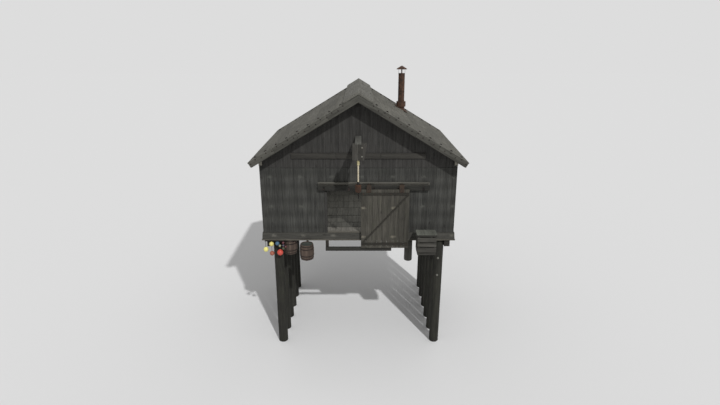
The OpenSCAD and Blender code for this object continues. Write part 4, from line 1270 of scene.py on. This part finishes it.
# By side: 1 for the right slope and -1 for the left, and twice that for its barge boards
SLOPE_WOODS = {
    1: wood("Right rafters", "right slope", (44, 42, 38), (74, 70, 63)),
    -1: wood("Left rafters", "left slope", (44, 42, 38), (74, 70, 63)),
    2: wood("Right barge boards", "right slope", (50, 49, 45), (88, 87, 81), share=0.1),
    -2: wood("Left barge boards", "left slope", (50, 49, 45), (88, 87, 81), share=0.1),
}
PILE_WOOD = wood("Piles", "z", (26, 26, 23), (52, 51, 46), moss=0.1, share=0.08, depth=0.012)
FENDER_WOOD = wood("Fender log", "z", (43, 43, 39), (86, 85, 79), share=0.05)
LEAF_WOOD = wood("Door boards", "z", (43, 42, 38), (84, 81, 74), (124, 119, 106), 0.7, 0.1, 0.2,
                 shift=0.15)
BAR_WOOD = wood("Door bars", "x", (33, 32, 28), (55, 53, 47))
HOIST_WOOD_Y = wood("Hoist beam", "y", (65, 64, 60), (100, 100, 95))
BLOCK_WOOD = wood("Hoist block", "z", (44, 43, 39), (71, 69, 65))
CRATE_WOOD = wood("Crate boards", "x", (39, 38, 35), (80, 78, 73), share=0.3)
# Darker batten wood: painted shade on the crate lid's front edge.
CRATE_BATTEN_PAINTED_SHADE_WOOD = wood("Crate batten, painted shade", "x", (34, 33, 30), (58, 57, 53))
CRATE_LID_WOOD = wood("Crate lid", "y", (73, 74, 68), (115, 117, 109))
KEG_HEAD_WOOD = wood("Keg heads", "x", (48, 51, 48), (76, 81, 76), share=0.2)
KEG_WOOD = wood("Keg staves", "z", (53, 43, 38), (94, 82, 73), share=0.2)
RUSTY_IRON = iron("Door iron", (36, 32, 28), (50, 41, 33), (70, 53, 38), 0.62)
WEIGHT_IRON = iron("Hoist weight iron", (27, 22, 17), (50, 33, 21), (78, 46, 25), 0.72)
PIPE_RUST = iron("Stove pipe iron", (44, 38, 35), (67, 47, 36), (104, 73, 53), 0.6)
DARK_IRON = iron("Dark iron", (26, 25, 24), (44, 34, 28), (66, 44, 32), 0.42)
NAIL_IRON = iron("Nail iron", (34, 31, 29), (58, 40, 32), (84, 54, 38), 0.5)
HOOP_IRON = iron("Keg hoops", (25, 22, 20), (36, 28, 24), (52, 38, 30), 0.55)
PALE_IRON = iron("Galvanised bolts", (122, 121, 114), (96, 76, 62), (120, 88, 66), 0.34)
ROPE_FIBRE = rope_fibre()
ROPE_TWINE = wood("Seizing twine", "x", (150, 140, 104), (196, 188, 150), depth=0.002)
FLOAT_PAINT = float_paint()

BOARD = made_block("board_blank", 0.02, 0.003)
THIN_BOARD = made_block("thin_blank", 0.006, 0.001)
TIMBER = made_block("timber_blank", 0.04, 0.009, 2)
NAIL = turned("nail_blank", [(-0.004, 0.009), (0.001, 0.009), (0.005, 0.006), (0.007, 0.002)], 8)
BOLT = turned("bolt_blank", [
    (-0.004, 0.022), (0.002, 0.022), (0.003, 0.02), (0.003, 0.014), (0.008, 0.014),
    (0.012, 0.009), (0.0135, 0.003)], 12)

build_hoist()
build_walls()
build_roof()
build_base()
build_doorway()
build_door()
build_pipe()
build_kegs()
build_crate()
build_floats()
build_fender()
remove(BOARD, THIN_BOARD, TIMBER, NAIL, BOLT)

scene = bpy.context.scene
scene.view_settings.view_transform = "Standard"
